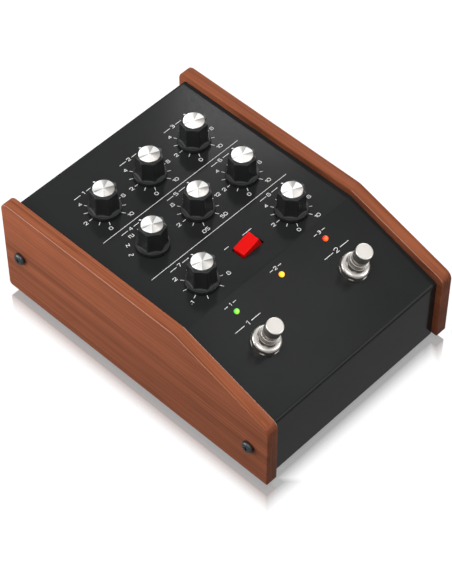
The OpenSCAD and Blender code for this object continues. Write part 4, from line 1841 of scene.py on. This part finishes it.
    def build(self, case: Case) -> None:
        """Makes the nut and the bushing's skin, which stay with the case, and the button, which travels.

        Args:
            case: the case that it stands on.
        """
        slot = Slot.polished_nickel
        fixed, moving = "case", f"{self.side}_footswitch"
        pieces = [
            ("nut", Surface(self.nut(), ring=True), fixed, ["footswitch_nuts"]),
            ("bushing", Surface(self.sleeve(), ring=True), fixed, []),
            ("footbutton", Surface(lathe(self.plunger_profile())), moving, [f"{self.side}_button"]),
        ]
        for kind, surface, body, nodes in pieces:
            surface.points = case.on_slope(surface.points, self.x, case.footswitch_drop)
            finish = SATIN_NICKEL if body == moving else slot.value
            fit(make_piece(f"{self.side}_{kind}", [surface], finish), body, slot.name, *nodes)
        wire = Slot.zinc_plated_steel
        turns = Surface(case.on_slope(self.return_spring(), self.x, case.footswitch_drop), capped=True)
        spring = make_piece(f"{self.side}_return_spring", [turns], wire.value)
        fit(spring, fixed, wire.name, f"{self.side}_spring")
        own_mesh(spring)


class CarriedNodes:
    """The solids that keep their shape and get a finish."""

    def dress(self) -> None:
        """Gives every solid the finish of its slot in the record."""
        for part in frame["record"]["subparts"]:
            solid = frame["nodes"][part["node"]]
            solid.data.materials.clear()
            solid.data.materials.append(Slot[part["material_slot"]].value.material())
            LOG.info("%s is dressed as %s", part["node"], part["material_slot"])


# The studio


def hang(thing: bpy.types.Object, place: Sequence[float], target: Sequence[float]) -> None:
    """Puts a lamp or a camera into the scene.

    Args:
        thing: the lamp or camera.
        place: where it hangs.
        target: the point that it faces.
    """
    thing.location = Vector(place) * MM
    thing.rotation_mode = "QUATERNION"
    thing.rotation_quaternion = (Vector(target) - Vector(place)).to_track_quat("-Z", "Y")
    bpy.context.scene.collection.objects.link(thing)


@dataclass(frozen=True)
class Softbox:
    """A square area lamp.

    Attributes:
        name: the lamp's name.
        place: where it hangs.
        aim: the point that it faces.
        size: the length of its side.
        brightness: the radiance of its face, where 1 looks white.
        lights: whether it lights the part, or is a card that only shows in what is glossy.
        shows: whether it shows in what is glossy.
    """

    name: str
    place: Triple
    size: float
    brightness: float
    aim: Triple = (0.0, 0.0, 40.0)
    lights: bool = True
    shows: bool = True

    def build(self) -> None:
        """Makes the lamp; a square of side s and radiance L gives off pi s^2 L watts."""
        data = bpy.data.lights.new(self.name, "AREA")
        data.shape = "SQUARE"
        data.size = self.size * MM
        data.energy = float(np.pi * (self.size * MM) ** 2 * self.brightness)
        lamp = bpy.data.objects.new(self.name, data)
        lamp.visible_camera = False
        lamp.visible_diffuse = self.lights
        lamp.visible_glossy = self.shows
        hang(lamp, self.place, self.aim)


@dataclass(frozen=True)
class Studio:
    """A white polished floor, soft light and the photograph's viewpoint.

    Attributes:
        photo_h: the photograph's height, in pixels.
        focal: the viewpoint's focal length, in pixels.
        eye: where the camera stands.
        look: the point in the middle of its view.
        sensor: the width of the camera's sensor.
        clip: the nearest and farthest distance that it sees, in metres.
        fill: the strength of the light from all round.
        horizon: the brightness of the room at eye level, where the part reflects it.
        white_from: the upward share of a direction from which on that room is white.
        floor_half: half the floor's side.
        mirror: distances from the part and the share of light that the floor mirrors there.
        polish: the roughness of the floor's mirror.
        shown: the brightness of the floor in the picture.
        shade: how much of a plain floor's shadow it keeps.
        bounce: the floor's tone for the light that it throws back on the part.
        mirrored: the brightness of the floor where the part reflects it.
        softboxes: the lamps and cards.
    """

    photo_h: float = 584.0
    focal: float = 2155.8
    eye: Triple = (-630.0, -604.0, 1096.3)
    look: Triple = (5.0, 4.6, 11.0)
    sensor: float = 36.0
    clip: Pair = (0.05, 20.0)
    fill: float = 0.25
    horizon: float = 0.3
    white_from: float = 0.72
    floor_half: float = 3000.0
    mirror: tuple[Pair, ...] = (
        (0.0, 0.63), (2.7, 0.63), (3.3, 0.56), (7.5, 0.27), (10.4, 0.1), (13.0, 0.0),
    )
    polish: float = 0.03
    shown: float = 1.12
    shade: float = 0.2
    bounce: str = "#8C8C8C"
    mirrored: float = 0.42
    softboxes: tuple[Softbox, ...] = (
        Softbox("left_softbox", (-520.0, 440.0, 200.0), 420.0, 5.4),
        Softbox("top_softbox", (-160.0, -250.0, 1250.0), 740.0, 6.0, shows=False),
        Softbox("rear_softbox", (686.0, 629.0, 900.0), 160.0, 6.3),
        Softbox("slope_card", (568.0, -282.0, 1203.0), 190.0, 1.3, lights=False),
        Softbox("right_card", (900.0, 374.0, 440.0), 600.0, 3.0, lights=False),
        Softbox("left_card", (-480.0, 720.0, 820.0), 420.0, 1.0, lights=False),
        Softbox("front_card", (450.0, -790.0, 440.0), 560.0, 2.4, lights=False),
        Softbox("near_left_card", (-540.0, -360.0, 900.0), 520.0, 2.2, lights=False),
    )

    def camera(self) -> None:
        """Sets the camera where the photograph was taken from."""
        data = bpy.data.cameras.new("photo_camera")
        data.sensor_width = self.sensor
        data.lens = self.focal * self.sensor / self.photo_h
        data.clip_start, data.clip_end = self.clip
        camera = bpy.data.objects.new("photo_camera", data)
        hang(camera, self.eye, self.look)
        bpy.context.scene.camera = camera

    def seen(self, tree: Tree) -> Socket:
        """Whether a ray shows what it meets: a camera ray, a reflection or a refraction.

        Args:
            tree: the nodes that ask.

        Returns:
            One for such a ray and zero for a ray that only carries light.
        """
        path = add_node(tree, "LightPath")
        shown = add_node(tree, "Math", {
            0: path.outputs["Is Camera Ray"], 1: path.outputs["Is Glossy Ray"],
        }, operation="MAXIMUM")
        return add_node(tree, "Math", {
            0: shown.outputs[0], 1: path.outputs["Is Transmission Ray"],
        }, operation="MAXIMUM").outputs[0]

    def world(self) -> None:
        """Lights the part softly from all round and shows white, greyer low down where it is reflected."""
        world = bpy.data.worlds.new("white_room")
        world.use_nodes = True
        tree = world.node_tree
        tree.nodes.clear()
        light = add_node(tree, "Background", {"Color": linear(WHITE), "Strength": self.fill})
        way = add_node(tree, "TexCoord").outputs["Generated"]
        upward = add_node(tree, "SeparateXYZ", {0: way})
        room = add_node(tree, "MapRange", {
            "Value": upward.outputs["Z"], **span_inputs((0.0, self.white_from)), "To Min": self.horizon,
        }, interpolation_type="SMOOTHSTEP")
        glossy = add_node(tree, "LightPath").outputs["Is Glossy Ray"]
        level = add_node(tree, "Mix", {"Factor": glossy, "A": 1.0, "B": room.outputs["Result"]})
        white = add_node(tree, "Background", {"Color": linear(WHITE), "Strength": level.outputs[0]})
        mix = add_node(tree, "MixShader", {0: self.seen(tree), 1: light.outputs[0], 2: white.outputs[0]})
        add_node(tree, "OutputWorld", {"Surface": mix.outputs[0]})
        bpy.context.scene.world = world

    def distance(self, tree: Tree, place: Socket, node: str) -> Socket:
        """The distance on the floor from a solid's outline.

        It is the larger of |x - cx| - a and |y - cy| - b, where a and b are half the solid's width and
        length, so that the corners stay square, as a mirror shows them.

        Args:
            tree: the floor's nodes.
            place: the point's place on the floor.
            node: the solid's name.

        Returns:
            The distance, in metres.
        """
        low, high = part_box(node)
        middle, half = ((high + low) / 2, (high - low) / 2)
        shifted = add_node(tree, "VectorMath", {
            0: place, 1: (middle.x, middle.y, 0.0),
        }, operation="SUBTRACT")
        size = add_node(tree, "VectorMath", {0: shifted.outputs[0]}, operation="ABSOLUTE")
        past = add_node(tree, "VectorMath", {
            0: size.outputs[0], 1: (half.x, half.y, 0.0),
        }, operation="SUBTRACT")
        axes = add_node(tree, "SeparateXYZ", {0: past.outputs[0]})
        return add_node(tree, "Math", {
            0: axes.outputs["X"], 1: axes.outputs["Y"],
        }, operation="MAXIMUM").outputs[0]

    def floor_material(self) -> bpy.types.Material:
        """A white polished floor that mirrors only what is close above it.

        Returns:
            The floor's material.
        """
        made = bpy.data.materials.new("white_floor")
        made.use_nodes = True
        tree = made.node_tree
        tree.nodes.clear()
        place = add_node(tree, "TexCoord").outputs["Object"]
        away = self.distance(tree, place, "top_cover")
        for node in ("left_cheek", "right_cheek"):
            away = add_node(tree, "Math", {
                0: self.distance(tree, place, node), 1: away,
            }, operation="MINIMUM").outputs[0]
        reach = self.mirror[-1][0]
        part = add_node(tree, "Math", {0: away, 1: reach * MM}, operation="DIVIDE").outputs[0]
        stops = [(distance / reach, (share, share, share, 1.0)) for distance, share in self.mirror]
        share = add_node(tree, "ValToRGB", {"Fac": part}, stops).outputs["Color"]
        white = linear(WHITE)
        plain = add_node(tree, "BsdfDiffuse", {"Color": linear(self.bounce)})
        pale = add_node(tree, "BsdfDiffuse", {"Color": white})
        shown = add_node(tree, "Emission", {"Color": white, "Strength": self.shown})
        shaded = add_node(tree, "MixShader", {0: self.shade, 1: shown.outputs[0], 2: pale.outputs[0]})
        gloss = add_node(tree, "BsdfGlossy", {"Color": white, "Roughness": self.polish})
        polished = add_node(tree, "MixShader", {0: share, 1: shaded.outputs[0], 2: gloss.outputs[0]})
        path = add_node(tree, "LightPath")
        glow = add_node(tree, "Emission", {"Color": white, "Strength": self.mirrored})
        unseen = add_node(tree, "MixShader", {
            0: path.outputs["Is Glossy Ray"], 1: plain.outputs[0], 2: glow.outputs[0],
        })
        surface = add_node(tree, "MixShader", {
            0: path.outputs["Is Camera Ray"], 1: unseen.outputs[0], 2: polished.outputs[0],
        })
        add_node(tree, "OutputMaterial", {"Surface": surface.outputs[0]})
        return made

    def floor(self) -> None:
        """Lays the floor."""
        half = self.floor_half * MM
        mesh = bpy.data.meshes.new("floor")
        corners = [(-half, -half, 0), (half, -half, 0), (half, half, 0), (-half, half, 0)]
        mesh.from_pydata(corners, [], [(0, 1, 2, 3)])
        mesh.materials.append(self.floor_material())
        floor = bpy.data.objects.new("floor", mesh)
        bpy.context.scene.collection.objects.link(floor)

    def build(self) -> None:
        """Sets up camera, world, lamps and floor."""
        bpy.context.scene.view_settings.view_transform = "Standard"
        self.camera()
        self.world()
        for softbox in self.softboxes:
            softbox.build()
        self.floor()


# The controls from rear left to front right, and how far the selector is turned to the left at rest
CONTROLS = ("drive", "level", "mix", "wave", "rate", "amount", "time", "feedback")
SELECTOR = "wave"
SELECTOR_TURN = 15.0


def main() -> None:
    """Builds the studio and the part's pieces in order."""
    logging.basicConfig(level=logging.INFO, format="%(name)s: %(message)s")
    case = Case.from_frame()
    left, middle, right = case.columns
    Studio().build()
    CarriedNodes().dress()
    Cheeks(case.bend_y).build()
    for name in CONTROLS:
        Knob(name, turn=SELECTOR_TURN if name == SELECTOR else 0.0).build(case)
    Rocker().build(case)
    lamps = [
        Lamp("led_green", Slot.green_lamp, left), Lamp("led_amber", Slot.amber_lamp, middle),
        Lamp("led_red", Slot.red_lamp, right),
    ]
    for lamp in lamps:
        lamp.build(case)
    for side, x in (("left", left), ("right", right)):
        Footswitch(side, x).build(case)
    PanelPrint(case).build()


if __name__ == "__main__":
    main()
